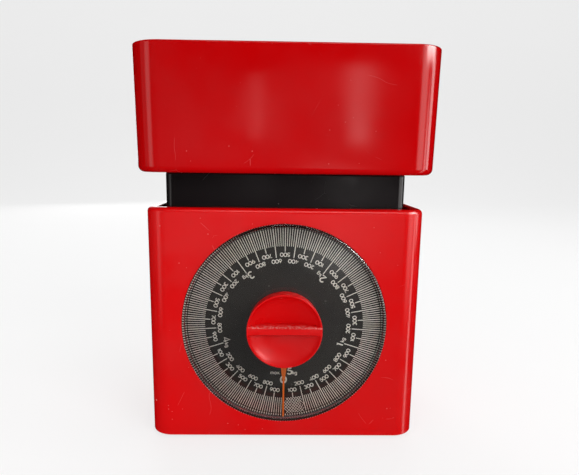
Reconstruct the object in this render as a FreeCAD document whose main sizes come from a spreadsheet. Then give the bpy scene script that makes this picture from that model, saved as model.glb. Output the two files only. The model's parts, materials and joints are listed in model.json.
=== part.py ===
import FreeCAD, Part
import math
import os
import re
import Sketcher
from FreeCAD import Rotation, Vector

# Kitchen scale: spring scale with a front dial, a load platform and a loose bowl.
# Millimetres. X to the right seen from the front, -Y out of the dial, +Z up.
# The table is at Z 0, and the origin is under the middle of the whole object.

doc = FreeCAD.newDocument("KitchenScale")

SIZES = {
    # housing
    "base_width": 160, "base_depth": 112, "shell_height": 137.5, "shell_gap": 1.2,
    "base_corner": 13, "shell_wall": 2.5, "shell_flange": 6.5, "top_round": 3, "mouth_corner": 1,
    "boss_inset": 8.5, "boss_radius": 5, "boss_height": 24,
    # bottom cover, feet and their screws
    "cover_thickness": 2, "cover_recess": 1, "cover_play": 0.3,
    "foot_radius": 8, "foot_inset": 24, "foot_peg_radius": 2.4, "peg_proud": 1, "peg_play": 0.1,
    "screw_radius": 1.5, "head_radius": 2.8, "head_height": 1.6, "hole_play": 0.2,
    # load platform
    "platform_width": 139, "platform_depth": 91, "platform_corner": 5,
    "platform_lift": 19.4, "platform_skirt": 20, "platform_wall": 2.5, "platform_round": 1.2,
    "platform_bite": 2,
    "seat_width": 112, "seat_depth": 64, "seat_recess": 1.2, "seat_play": 0.5,
    # bowl
    "bowl_width": 170, "bowl_depth": 122, "bowl_height": 68.5, "bowl_corner": 17,
    "bowl_wall": 2.2, "bowl_draft": 1, "bowl_round": 3.5, "rim_round": 0.9,
    "seat_ring": 2, "seat_ring_height": 1, "seat_corner": 6,
    # dial window
    "dial_height": 69.3, "lens_radius": 59.65, "lens_proud": 1.4, "lens_thickness": 1.6,
    "lens_skirt": 1.3, "lens_flange": 2.65, "lens_round": 1.1, "turning_play": 0.1,
    "flange_thickness": 1.1, "lip_thickness": 1.2,
    "ring_width": 3.4, "ring_thickness": 1.5, "ear_radius": 3.4, "ear_circle": 66.5,
    "ring_screw_radius": 1, "ring_screw_bite": 1.8, "ring_clearance": 0.7,
    # dial and its shaft
    "dial_depth": 3.3, "hub_space": 1.6, "hub_flange": 1, "shoulder_play": 0.3, "shaft_proud": 2,
    "dial_radius": 60.4, "dial_thickness": 0.6, "hub_radius": 7, "hub_length": 3,
    "shaft_radius": 1.5, "bush_radius": 3, "bush_flange": 4.4, "bush_lip": 1, "running_play": 0.05,
    "rear_bearing": 31,
    # rack and pinion
    "gear_module": 0.4, "pinion_teeth": 12, "pinion_width": 4, "rack_width": 3,
    "slim_share": 0.6, "press_play": 0.01, "slim_shaft_share": 0.7,
    "rack_pin_end": 0.1, "rack_pin_head": 0.8, "rack_head_share": 0.9, "rack_pin_step": 0.3,
    "tooth_bite": 0.2, "pinion_bite": 0.3, "rack_lean": 20, "pinion_lean": 24,
    "tooth_share": 0.36, "gear_space": 0.7, "rack_pin_height": 11, "rack_end": 3,
    # knob and pointer
    "knob_radius": 21.7, "knob_front_radius": 20.8, "knob_length": 10.3, "knob_rim": 1.5,
    "knob_floor": 1.8, "scoop_slope": 6, "ridge_width": 5, "spigot_radius": 4,
    "pointer_reach": 57, "pointer_thickness": 0.7, "pointer_width": 1, "pointer_root": 9,
    "pointer_wedge": 35, "pointer_neck": 3.6, "neck_past_knob": 3, "knob_screw_bite": 4,
    "knob_screw_head": 3.4, "knob_screw_head_height": 1,
    # mechanism frame and levers
    "sheet": 2, "frame_half": 34, "cheek_length": 18, "pivot_back": 30, "lever_length": 60,
    "upper_pivot": 92, "lower_pivot": 31, "lever_height": 8, "lever_thickness": 3,
    "lever_heel": 5, "lever_past_pin": 4,
    "lever_side": 29, "pin_radius": 1.5, "slot_play": 0.5,
    "bridge_height": 121, "anchor_height": 108, "spring_line": -4, "arm_half": 6, "arm_drop": 8,
    "floor_front": 47, "floor_margin": 8, "floor_screw_front": 34, "pin_proud": 1.6,
    "clip_play": 0.1, "clip_thickness": 1, "anchor_slot_play": 3, "anchor_radius": 3, "anchor_proud": 1.5,
    "bracket_half": 8, "bracket_top": 7, "bracket_screw_spread": 5, "bracket_screw_lift": 0.4,
    "bracket_head": 2.4, "bracket_head_height": 1.2,
    "calibration_head": 4, "calibration_head_height": 2.5, "nut_radius": 3.3, "nut_height": 2.4,
    "calibration_tail": 6,
    # carrier under the platform
    "carrier_side": 24, "carrier_front": 37, "carrier_bottom": 26, "carrier_foot": 16,
    "carrier_back": 20, "carrier_arm": 14, "carrier_toe": 6, "carrier_pin_proud": 1, "carrier_pin_head": 1,
    "shaft_slot": 3.5, "shaft_slot_end": 3,
    "carrier_screw_margin": 6, "carrier_screw_front": 28, "carrier_screw_back": 12,
    # springs
    "spring_spread": 14, "spring_bar_height": 33, "spring_radius": 5.5, "spring_wire": 1.4,
    "bar_radius": 2, "bar_proud": 1, "spring_coils": 24, "eye_play": 0.1, "spring_stem": 3,
    # how far a cutting tool reaches past what it cuts
    "past": 1,
}
sheet = doc.addObject("Spreadsheet::Sheet", "dims")
for row, (alias, size) in enumerate(SIZES.items(), 1):
    sheet.set(f"A{row}", alias)
    sheet.set(f"B{row}", str(size))
    sheet.setAlias(f"B{row}", alias)
doc.recompute()


def spell(text):
    """An expression in the sheet's words, written out for setExpression."""
    return re.sub(r"[a-z]+(_[a-z]+)*", lambda word: ("dims." if word[0] in SIZES else "") + word[0], str(text))


def value(text):
    return float(sheet.evalExpression(spell(text)))


def bind(thing, prop, text):
    thing.setExpression(prop, spell(text))


pieces = {}


def keep(name, thing):
    """Makes an object one of the finished pieces, under the name of its file."""
    thing.Label = name
    pieces[name] = thing
    return thing


# ---------------------------------------------------------------- Part primitives

counter = {"next": 0}


def fresh(kind, word):
    counter["next"] += 1
    return doc.addObject(kind, f"{word}{counter['next']}")


def place(thing, x, y, z):
    bind(thing, "Placement.Base.x", x)
    bind(thing, "Placement.Base.y", y)
    bind(thing, "Placement.Base.z", z)
    return thing


def block(x, y, z):
    """A box between two ends along each axis, each given as (low, high)."""
    box = fresh("Part::Box", "block")
    for prop, (low, high) in zip(("Length", "Width", "Height"), (x, y, z)):
        bind(box, prop, f"({high}) - ({low})")
    return place(box, x[0], y[0], z[0])


TURNS = {"X": Rotation(Vector(0, 1, 0), 90), "Y": Rotation(Vector(1, 0, 0), -90), "Z": Rotation()}


def rod(axis, radius, low, high, across, up):
    """A round bar along an axis, from low to high, with its centre line at the other two."""
    bar = fresh("Part::Cylinder", "rod")
    bind(bar, "Radius", radius)
    bind(bar, "Height", f"({high}) - ({low})")
    bar.Placement.Rotation = TURNS[axis]
    start = {"X": (low, across, up), "Y": (across, low, up), "Z": (across, up, low)}[axis]
    return place(bar, *start)


def fuse(*parts):
    joined = fresh("Part::MultiFuse", "joined")
    joined.Shapes = list(parts)
    joined.Refine = True
    return joined


def cut(base, *tools):
    left = fresh("Part::Cut", "left")
    left.Base = base
    left.Tool = tools[0] if len(tools) == 1 else fuse(*tools)
    left.Refine = True
    return left


def group(*parts):
    """Identical loose pieces that share one node."""
    together = fresh("Part::Compound", "group")
    together.Links = list(parts)
    return together


# ---------------------------------------------------------------- sketches and bodies

def origin_plane(body, role):
    return next(item for item in body.Origin.OriginFeatures if item.Role == role)


def sketch_on(body, name, role, offset="0"):
    drawing = body.newObject("Sketcher::SketchObject", name)
    drawing.AttachmentSupport = [(origin_plane(body, role), "")]
    drawing.MapMode = "FlatFace"
    bind(drawing, "AttachmentOffset.Base.z", offset)
    return drawing


def dimension(drawing, kind, *where):
    text = where[-1]
    index = drawing.addConstraint(Sketcher.Constraint(kind, *where[:-1], value(text)))
    drawing.setExpression(f"Constraints[{index}]", spell(text))


def rounded_outline(drawing, width, depth, radius):
    """A rectangle with round corners, centred on the sketch's origin."""
    half_w, half_d, r = value(width) / 2, value(depth) / 2, value(radius)
    lines = []
    for a, b in (((r - half_w, -half_d), (half_w - r, -half_d)), ((half_w, r - half_d), (half_w, half_d - r)),
                 ((half_w - r, half_d), (r - half_w, half_d)), ((-half_w, half_d - r), (-half_w, r - half_d))):
        lines.append(drawing.addGeometry(Part.LineSegment(Vector(*a, 0), Vector(*b, 0))))
    arcs = []
    for number, (sx, sy) in enumerate(((1, -1), (1, 1), (-1, 1), (-1, -1))):
        centre = Vector(sx * (half_w - r), sy * (half_d - r), 0)
        start = (number - 1) * math.pi / 2
        arcs.append(drawing.addGeometry(Part.ArcOfCircle(Part.Circle(centre, Vector(0, 0, 1), r),
                                                         start, start + math.pi / 2)))
    for number in range(4):
        drawing.addConstraint(Sketcher.Constraint("Tangent", lines[number], 2, arcs[number], 1))
        drawing.addConstraint(Sketcher.Constraint("Tangent", arcs[number], 2, lines[(number + 1) % 4], 1))
    for number in range(3):
        drawing.addConstraint(Sketcher.Constraint("Equal", arcs[number], arcs[number + 1]))
    for number, kind in enumerate(("Horizontal", "Vertical", "Horizontal", "Vertical")):
        drawing.addConstraint(Sketcher.Constraint(kind, lines[number]))
    dimension(drawing, "Radius", arcs[0], radius)
    dimension(drawing, "DistanceX", -1, 1, lines[1], 1, f"({width}) / 2")
    dimension(drawing, "DistanceX", lines[3], 1, -1, 1, f"({width}) / 2")
    dimension(drawing, "DistanceY", -1, 1, lines[2], 1, f"({depth}) / 2")
    dimension(drawing, "DistanceY", lines[0], 1, -1, 1, f"({depth}) / 2")


def polygon_outline(drawing, points):
    """A closed outline through points, each a pair of sizes from the sketch's origin."""
    spots = [Vector(value(a), value(b), 0) for a, b in points]
    count = len(points)
    lines = [drawing.addGeometry(Part.LineSegment(spots[i], spots[(i + 1) % count])) for i in range(count)]
    for i in range(count):
        drawing.addConstraint(Sketcher.Constraint("Coincident", lines[i], 2, lines[(i + 1) % count], 1))
    for line, (a, b) in zip(lines, points):
        dimension(drawing, "DistanceX", -1, 1, line, 1, a)
        dimension(drawing, "DistanceY", -1, 1, line, 1, b)


def circle_outline(drawing, radius, x="0", y="0"):
    ring = drawing.addGeometry(Part.Circle(Vector(value(x), value(y), 0), Vector(0, 0, 1), value(radius)))
    dimension(drawing, "Radius", ring, radius)
    dimension(drawing, "DistanceX", -1, 1, ring, 3, x)
    dimension(drawing, "DistanceY", -1, 1, ring, 3, y)


def new_body(name):
    return keep(name, doc.addObject("PartDesign::Body", name))


def pad(body, drawing, length, upward=True, taper="0"):
    grown = body.newObject("PartDesign::Pad", drawing.Name + "_pad")
    grown.Profile = drawing
    grown.Reversed = not upward
    bind(grown, "Length", length)
    bind(grown, "TaperAngle", taper)
    doc.recompute()
    return grown


def pocket(body, drawing, depth, downward=True, taper="0"):
    """A cut from the sketch's plane, with a check that it took something away."""
    before = body.Shape.Volume
    hollow = body.newObject("PartDesign::Pocket", drawing.Name + "_cut")
    hollow.Profile = drawing
    hollow.Reversed = not downward
    bind(hollow, "Length", depth)
    bind(hollow, "TaperAngle", taper)
    doc.recompute()
    if not body.Shape.Volume < before - 0.01:
        raise ValueError(f"{hollow.Name} cuts nothing")
    return hollow


def round_edges(body, radius, test):
    """Rounds the edges of the body's last feature whose middle passes the test."""
    base = body.Tip
    chosen = []
    for number, edge in enumerate(base.Shape.Edges, 1):
        middle = edge.valueAt((edge.FirstParameter + edge.LastParameter) / 2)
        if test(edge, middle):
            chosen.append(f"Edge{number}")
    if not chosen:
        raise ValueError(f"{body.Name} has no edge to round")
    rounded = body.newObject("PartDesign::Fillet", body.Name + "_round")
    rounded.Base = (base, chosen)
    bind(rounded, "Radius", radius)
    doc.recompute()
    return rounded


def flat_at(level):
    """A test for edges that lie flat at one height."""
    height = value(level)
    return lambda edge, middle: abs(middle.z - height) < 0.01 and edge.BoundBox.ZLength < 0.01


def turned(name, points):
    """A body turned about the Y axis, from an outline of (radius, distance along Y)."""
    body = new_body(name)
    drawing = sketch_on(body, name + "_section", "XY_Plane")
    polygon_outline(drawing, points)
    spun = body.newObject("PartDesign::Revolution", name + "_turned")
    spun.Profile = drawing
    spun.ReferenceAxis = (drawing, ["V_Axis"])
    spun.Angle = 360
    doc.recompute()
    return body


# ---------------------------------------------------------------- shared places

MIDDLE = "((base_depth / 2 + lens_proud + knob_length - bowl_depth / 2) / 2)"   # Y of the housing's middle
FACE = f"({MIDDLE} - base_depth / 2)"                        # front face of the housing
SHELL_TOP = "(shell_gap + shell_height)"
COVER_UNDER = "(shell_gap + cover_recess)"
COVER_TOP = f"({COVER_UNDER} + cover_thickness)"
FLOOR = f"({COVER_TOP} + sheet)"                             # top of the frame's floor plate
DIAL_Z = "(shell_gap + dial_height)"
PLATFORM_TOP = f"({SHELL_TOP} + platform_lift)"
PLATFORM_UNDER = f"({PLATFORM_TOP} - platform_wall - seat_recess)"
TRAVEL = "(pi * gear_module * pinion_teeth)"                 # one turn of the dial
FRAME_OUT = "(frame_half + sheet)"
CARRIER_OUT = "(carrier_side + sheet)"
LENS_HOLE = "(lens_radius + turning_play)"
FLANGE_RADIUS = "(lens_radius + lens_flange)"
PIVOT_Y = f"({MIDDLE} + pivot_back)"
PIN_Y = f"({PIVOT_Y} - lever_length)"
SPRING_Y = f"({MIDDLE} + spring_line)"
PLATE_FRONT = f"({FACE} + dial_depth + dial_thickness + hub_length + hub_space)"   # front bearing plate
PLATE_BACK = f"({PLATE_FRONT} + sheet)"
REAR_PLATE = f"({MIDDLE} - rear_bearing)"                    # front of the rear bearing plate
SIDES = (-1, 1)
BRACKET_SCREWS = [(x, f"({PLATE_BACK} + {REAR_PLATE}) / 2") 
                  for x in ("-bracket_screw_spread", "bracket_screw_spread")]
LEVER_REST = f"atan({TRAVEL} / 2 / lever_length)"            # tilt of a lever at rest
# how much further along its lever a carrier pin is at rest than at mid travel
SWING_PLAY = f"(lever_length / cos({LEVER_REST}) - lever_length)"
# screws of the frame and of the carrier, from the housing's middle
FRAME_SCREWS = [(f"{side} * (frame_half - floor_margin)", y)
                for side in SIDES for y in ("-floor_screw_front", "pivot_back")]
CARRIER_SCREWS = [(f"{side} * (carrier_side - carrier_screw_margin)", y)
                  for side in SIDES for y in ("-carrier_screw_front", "carrier_screw_back")]
CORNERS = ((-1, -1), (1, -1), (1, 1), (-1, 1))


def seat(body, y=MIDDLE, z="0"):
    place(body, "0", y, z)
    doc.recompute()


def corner_circles(drawing, radius, x, y):
    for sx, sy in CORNERS:
        circle_outline(drawing, radius, f"{sx} * ({x})", f"{sy} * ({y})")


# ---------------------------------------------------------------- housing

def base_shell():
    body = new_body("base_shell")
    outside = sketch_on(body, "shell_outside", "XY_Plane")
    rounded_outline(outside, "base_width", "base_depth", "base_corner")
    pad(body, outside, "shell_height")
    round_edges(body, "top_round", flat_at("shell_height"))
    inside = sketch_on(body, "shell_inside", "XY_Plane")
    rounded_outline(inside, "base_width - 2 * shell_wall", "base_depth - 2 * shell_wall",
                    "base_corner - shell_wall")
    pocket(body, inside, "shell_height - shell_wall", downward=False)
    mouth = sketch_on(body, "shell_mouth", "XY_Plane", "shell_height")
    rounded_outline(mouth, "base_width - 2 * shell_flange", "base_depth - 2 * shell_flange", "mouth_corner")
    pocket(body, mouth, "2 * shell_wall")
    window = sketch_on(body, "dial_window", "XZ_Plane", "base_depth / 2")
    circle_outline(window, LENS_HOLE, "0", "dial_height")
    pocket(body, window, "shell_wall + past")
    rebate = sketch_on(body, "flange_rebate", "XZ_Plane", "base_depth / 2 - lip_thickness")
    circle_outline(rebate, f"{FLANGE_RADIUS} + cover_play", "0", "dial_height")
    pocket(body, rebate, "shell_wall")
    bosses = sketch_on(body, "cover_bosses", "XY_Plane", "cover_recess + cover_thickness")
    corner_circles(bosses, "boss_radius", "base_width / 2 - boss_inset", "base_depth / 2 - boss_inset")
    pad(body, bosses, "boss_height")
    bores = sketch_on(body, "boss_bores", "XY_Plane", "cover_recess + cover_thickness")
    corner_circles(bores, "screw_radius + running_play", "base_width / 2 - boss_inset",
                   "base_depth / 2 - boss_inset")
    pocket(body, bores, "boss_height / 2", downward=False)
    holes = sketch_on(body, "ring_screw_holes", "XZ_Plane", "base_depth / 2 - shell_wall")
    for sx, sz in CORNERS:
        circle_outline(holes, "ring_screw_radius + running_play", f"{sx} * ear_circle * sqrt(0.5)",
                       f"dial_height + {sz} * ear_circle * sqrt(0.5)")
    pocket(body, holes, "ring_screw_bite + running_play", downward=False)
    seat(body, z="shell_gap")


def bottom_cover():
    body = new_body("bottom_cover")
    plate = sketch_on(body, "cover_plate", "XY_Plane")
    inset = "2 * (shell_wall + cover_play)"
    rounded_outline(plate, f"base_width - {inset}", f"base_depth - {inset}",
                    "base_corner - shell_wall - cover_play")
    pad(body, plate, "cover_thickness")
    holes = sketch_on(body, "cover_holes", "XY_Plane")
    corner_circles(holes, "screw_radius + hole_play", "base_width / 2 - boss_inset",
                   "base_depth / 2 - boss_inset")
    corner_circles(holes, "foot_peg_radius + peg_play", "base_width / 2 - foot_inset",
                   "base_depth / 2 - foot_inset")
    pocket(body, holes, "cover_thickness", downward=False)
    frame_holes = sketch_on(body, "frame_screw_holes", "XY_Plane")
    for x, y in FRAME_SCREWS:
        circle_outline(frame_holes, "screw_radius + running_play", x, y)
    pocket(body, frame_holes, "cover_thickness", downward=False)
    seat(body, z=COVER_UNDER)


def feet():
    names = ("foot_front_left", "foot_front_right", "foot_back_right", "foot_back_left")
    for name, (sx, sy) in zip(names, CORNERS):
        x = f"{sx} * (base_width / 2 - foot_inset)"
        y = f"{MIDDLE} + {sy} * (base_depth / 2 - foot_inset)"
        sole = rod("Z", "foot_radius", "0", COVER_UNDER, x, y)
        peg = rod("Z", "foot_peg_radius", COVER_UNDER, f"{COVER_TOP} + peg_proud", x, y)
        keep(name, fuse(sole, peg))


def screw(axis, low, high, across, up, head_low=True, shank="screw_radius", head="head_radius",
          head_height="head_height"):
    """A pan-head screw whose shank runs from low to high, with its head beyond one end."""
    shaft = rod(axis, shank, low, high, across, up)
    if head_low:
        top = rod(axis, head, f"{low} - {head_height}", low, across, up)
    else:
        top = rod(axis, head, high, f"{high} + {head_height}", across, up)
    return fuse(shaft, top)


def housing_screws():
    x, y = "(base_width / 2 - boss_inset)", "(base_depth / 2 - boss_inset)"
    keep("cover_screws", group(*[
        screw("Z", COVER_UNDER, f"{COVER_TOP} + boss_height / 2 - past", f"{sx} * {x}",
              f"{MIDDLE} + {sy} * {y}")
        for sx, sy in CORNERS]))
    keep("frame_screws", group(*[
        screw("Z", COVER_UNDER, FLOOR, x, f"{MIDDLE} + {y}") for x, y in FRAME_SCREWS]))


def lens_ring():
    back = f"({FACE} + shell_wall)"
    front_to_back = (back, f"{back} + ring_thickness")
    bore = "(dial_radius + ring_clearance)"
    ears, holes, screws = [], [], []
    for sx, sz in CORNERS:
        x = f"{sx} * ear_circle * sqrt(0.5)"
        z = f"{DIAL_Z} + {sz} * ear_circle * sqrt(0.5)"
        ears.append(rod("Y", "ear_radius", *front_to_back, x, z))
        holes.append(rod("Y", "ring_screw_radius + running_play", *front_to_back, x, z))
        screws.append(screw("Y", f"{back} - ring_screw_bite", f"{back} + ring_thickness", x, z, head_low=False,
                            shank="ring_screw_radius", head="2 * ring_screw_radius",
                            head_height="ring_screw_radius"))
    disc = rod("Y", f"{bore} + ring_width", *front_to_back, "0", DIAL_Z)
    keep("lens_retaining_ring", cut(fuse(disc, *ears), rod("Y", bore, *front_to_back, "0", DIAL_Z), *holes))
    keep("ring_screws", group(*screws))


# ---------------------------------------------------------------- load platform and bowl

def platform_cover():
    body = new_body("platform_cover")
    height = "(platform_skirt + platform_lift)"
    outside = sketch_on(body, "platform_outside", "XY_Plane")
    rounded_outline(outside, "platform_width", "platform_depth", "platform_corner")
    pad(body, outside, height)
    round_edges(body, "platform_round", flat_at(height))
    inside = sketch_on(body, "platform_inside", "XY_Plane")
    rounded_outline(inside, "platform_width - 2 * platform_wall", "platform_depth - 2 * platform_wall",
                    "platform_corner - platform_wall")
    pocket(body, inside, f"{height} - platform_wall - seat_recess", downward=False)
    recess = sketch_on(body, "bowl_seat", "XY_Plane", height)
    rounded_outline(recess, "seat_width", "seat_depth", "seat_corner")
    pocket(body, recess, "seat_recess")
    holes = sketch_on(body, "carrier_screw_holes", "XY_Plane", f"{height} - platform_wall - seat_recess")
    for x, y in CARRIER_SCREWS:
        circle_outline(holes, "screw_radius + running_play", x, y)
    pocket(body, holes, "platform_bite + running_play", downward=False)
    seat(body, z=f"{SHELL_TOP} - platform_skirt")


def bowl():
    body = new_body("bowl")
    lean = "atan(bowl_draft / bowl_height)"
    outside = sketch_on(body, "bowl_outside", "XY_Plane")
    rounded_outline(outside, "bowl_width - 2 * bowl_draft", "bowl_depth - 2 * bowl_draft",
                    "bowl_corner - bowl_draft")
    pad(body, outside, "bowl_height", taper=lean)
    round_edges(body, "bowl_round", flat_at("0"))
    inside = sketch_on(body, "bowl_inside", "XY_Plane", "bowl_height")
    rounded_outline(inside, "bowl_width - 2 * bowl_wall", "bowl_depth - 2 * bowl_wall",
                    "bowl_corner - bowl_wall")
    pocket(body, inside, "bowl_height - bowl_wall", taper=f"-1 * {lean}")
    round_edges(body, "bowl_round - bowl_wall / 2", flat_at("bowl_wall"))
    round_edges(body, "rim_round", flat_at("bowl_height"))
    ring = sketch_on(body, "locating_ring", "XY_Plane")
    rounded_outline(ring, "seat_width - 2 * seat_play", "seat_depth - 2 * seat_play",
                    "seat_corner - seat_play")
    rounded_outline(ring, "seat_width - 2 * seat_play - 2 * seat_ring",
                    "seat_depth - 2 * seat_play - 2 * seat_ring", "seat_corner - seat_play - seat_ring")
    pad(body, ring, "seat_ring_height", upward=False)
    seat(body, z=PLATFORM_TOP)


def carrier():
    top = block((f"-{CARRIER_OUT}", CARRIER_OUT), (f"{MIDDLE} - carrier_front", f"{MIDDLE} + carrier_back"),
                (f"{PLATFORM_UNDER} - sheet", PLATFORM_UNDER))
    heights = ("carrier_bottom", f"{PLATFORM_UNDER} - sheet")
    web = block((f"-{CARRIER_OUT}", CARRIER_OUT),
                (f"{MIDDLE} - carrier_front", f"{MIDDLE} - carrier_front + sheet"), heights)
    parts = [top, web]
    web_span = (f"{MIDDLE} - carrier_front - past", f"{MIDDLE} - carrier_front + sheet + past")
    holes = [block(("-shaft_slot", "shaft_slot"), web_span,
                   (f"{DIAL_Z} - shaft_slot_end", f"{DIAL_Z} + {TRAVEL} + shaft_slot_end"))]
    for side in SIDES:
        low, high = ("carrier_side", CARRIER_OUT) if side > 0 else (f"-{CARRIER_OUT}", "-1 * carrier_side")
        parts.append(block((low, high), (f"{MIDDLE} - carrier_front", f"{PIN_Y} + carrier_arm"), heights))
        parts.append(block((low, high), (f"{MIDDLE} - carrier_front", f"{SPRING_Y} + carrier_toe"),
                           ("carrier_bottom", "carrier_bottom + carrier_foot")))
    across = (f"-{CARRIER_OUT} - past", f"{CARRIER_OUT} + past")
    for pivot in ("upper_pivot", "lower_pivot"):
        holes.append(rod("X", "pin_radius + running_play", *across, PIN_Y, f"{pivot} + {TRAVEL} / 2"))
    holes.append(rod("X", "bar_radius + running_play", *across, SPRING_Y, "spring_bar_height"))
    holes.append(rod("Y", "pin_radius + running_play", *web_span, RACK_X, RACK_PIN_Z))
    for x, y in CARRIER_SCREWS:
        holes.append(rod("Z", "screw_radius + hole_play", f"{PLATFORM_UNDER} - sheet - past",
                         f"{PLATFORM_UNDER} + past", x, f"{MIDDLE} + {y}"))
    keep("carrier", cut(fuse(*parts), *holes))
    keep("platform_screws", group(*[
        screw("Z", f"{PLATFORM_UNDER} - sheet", f"{PLATFORM_UNDER} + platform_bite", x, f"{MIDDLE} + {y}")
        for x, y in CARRIER_SCREWS]))


def carrier_pins():
    for name, pivot in (("upper_carrier_pins", "upper_pivot"), ("lower_carrier_pins", "lower_pivot")):
        z = f"{pivot} + {TRAVEL} / 2"
        inner, outer = "(carrier_side)", "(lever_side + lever_thickness + carrier_pin_proud)"
        pins = []
        for side in SIDES:
            ends = (inner, outer) if side > 0 else (f"-{outer}", f"-{inner}")
            head = ((f"{inner} - carrier_pin_head", inner) if side > 0
                    else (f"-{inner}", f"carrier_pin_head - {inner}"))
            pins.append(fuse(rod("X", "pin_radius", *ends, PIN_Y, z),
                             rod("X", "head_radius", *head, PIN_Y, z)))
        keep(name, group(*pins))


# ---------------------------------------------------------------- frame and levers

def mechanism_frame():
    plate = block((f"-{FRAME_OUT}", FRAME_OUT), (f"{MIDDLE} - floor_front", f"{PIVOT_Y} + floor_margin"),
                  (COVER_TOP, FLOOR))
    parts, holes = [plate], []
    arm_front, rear = f"{SPRING_Y} - arm_half", f"{PIVOT_Y} + floor_margin"
    for side in SIDES:
        ends = ("frame_half", FRAME_OUT) if side > 0 else (f"-{FRAME_OUT}", "-1 * frame_half")
        parts.append(block(ends, (f"{rear} - cheek_length", rear), (COVER_TOP, "bridge_height")))
        parts.append(block(ends, (arm_front, rear), ("anchor_height - arm_drop", "bridge_height")))
    bridge_deep = (arm_front, f"{SPRING_Y} + arm_half")
    parts.append(block((f"-{FRAME_OUT}", FRAME_OUT), bridge_deep, ("bridge_height - sheet", "bridge_height")))
    across = (f"-{FRAME_OUT} - past", f"{FRAME_OUT} + past")
    for pivot in ("upper_pivot", "lower_pivot"):
        holes.append(rod("X", "pin_radius + running_play", *across, PIVOT_Y, pivot))
    bar_y = (f"{SPRING_Y} - anchor_radius - hole_play", f"{SPRING_Y} + anchor_radius + hole_play")
    slot_half = "(bar_radius + anchor_slot_play)"
    holes.append(block(across, bar_y, (f"anchor_height - {slot_half}", f"anchor_height + {slot_half}")))
    holes.append(rod("Z", "screw_radius + running_play", "bridge_height - sheet - past", "bridge_height + past",
                     "0", SPRING_Y))
    for x, y in FRAME_SCREWS:
        holes.append(rod("Z", "screw_radius + running_play", f"{COVER_TOP} - past", f"{FLOOR} + past", x,
                         f"{MIDDLE} + {y}"))
    for x, y in BRACKET_SCREWS:
        holes.append(rod("Z", "screw_radius + running_play", f"{COVER_TOP} - past", f"{FLOOR} + past", x, y))
    keep("mechanism_frame", cut(fuse(*parts), *holes))


def spring_anchor():
    thick = "anchor_radius"
    reach = f"({FRAME_OUT} + anchor_proud)"
    bar = rod("X", thick, f"-{reach}", reach, SPRING_Y, "anchor_height")
    bore = rod("Z", "screw_radius + running_play", f"anchor_height - {thick} - past",
               f"anchor_height + {thick} + past", "0", SPRING_Y)
    keep("spring_anchor_bar", cut(bar, bore))
    keep("calibration_screw", screw("Z", f"anchor_height - {thick} - calibration_tail", "bridge_height", "0",
                                    SPRING_Y, head_low=False, head="calibration_head",
                                    head_height="calibration_head_height"))
    nut = fresh("Part::Prism", "nut")
    nut.Polygon = 6
    bind(nut, "Circumradius", "nut_radius")
    bind(nut, "Height", "nut_height")
    place(nut, "0", SPRING_Y, f"anchor_height - {thick} - nut_height")
    bore = rod("Z", "screw_radius + running_play", f"anchor_height - {thick} - nut_height - past",
               f"anchor_height - {thick} + past", "0", SPRING_Y)
    keep("calibration_nut", cut(nut, bore))
    reach = f"({CARRIER_OUT} + bar_proud)"
    keep("lower_spring_bar", rod("X", "bar_radius", f"-{reach}", reach, SPRING_Y, "spring_bar_height"))


def lever_pins():
    reach = f"({FRAME_OUT} + pin_proud)"
    near, far = f"({FRAME_OUT} + clip_play)", f"({FRAME_OUT} + clip_play + clip_thickness)"
    clips = []
    for name, pivot in (("upper_pivot_pin", "upper_pivot"), ("lower_pivot_pin", "lower_pivot")):
        keep(name, rod("X", "pin_radius", f"-{reach}", reach, PIVOT_Y, pivot))
        for ends in ((f"-1 * {far}", f"-1 * {near}"), (near, far)):
            clips.append(cut(rod("X", "2 * pin_radius", *ends, PIVOT_Y, pivot),
                             rod("X", "pin_radius + running_play", *ends, PIVOT_Y, pivot)))
    keep("pivot_clips", group(*clips))


def levers():
    outer = "(lever_side + lever_thickness)"
    reach = f"(lever_length + {SWING_PLAY} + pin_radius + lever_past_pin)"
    for name, pivot in (("upper_lever", "upper_pivot"), ("lower_lever", "lower_pivot")):
        arms = [block(ends, (f"-{reach}", "lever_heel"), ("-lever_height / 2", "lever_height / 2"))
                for ends in (("lever_side", outer), (f"-{outer}", "-lever_side"))]
        tie = rod("X", "pin_radius * 2", "-lever_side", "lever_side", "-lever_length / 4", "0")
        across = (f"-{outer} - past", f"{outer} + past")
        bore = rod("X", "pin_radius + running_play", *across, "0", "0")
        slot_half = f"(pin_radius + {SWING_PLAY} / 2 + slot_play)"
        slot_middle = f"(lever_length + {SWING_PLAY} / 2)"
        slot = block(across, (f"-{slot_middle} - {slot_half}", f"-{slot_middle} + {slot_half}"),
                     ("-pin_radius - running_play", "pin_radius + running_play"))
        lever = cut(fuse(*arms, tie), bore, slot)
        lever.Placement.Rotation = Rotation(Vector(-1, 0, 0), 1)
        bind(lever, "Placement.Rotation.Angle", LEVER_REST)
        keep(name, place(lever, "0", PIVOT_Y, pivot))


# ---------------------------------------------------------------- springs

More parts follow.
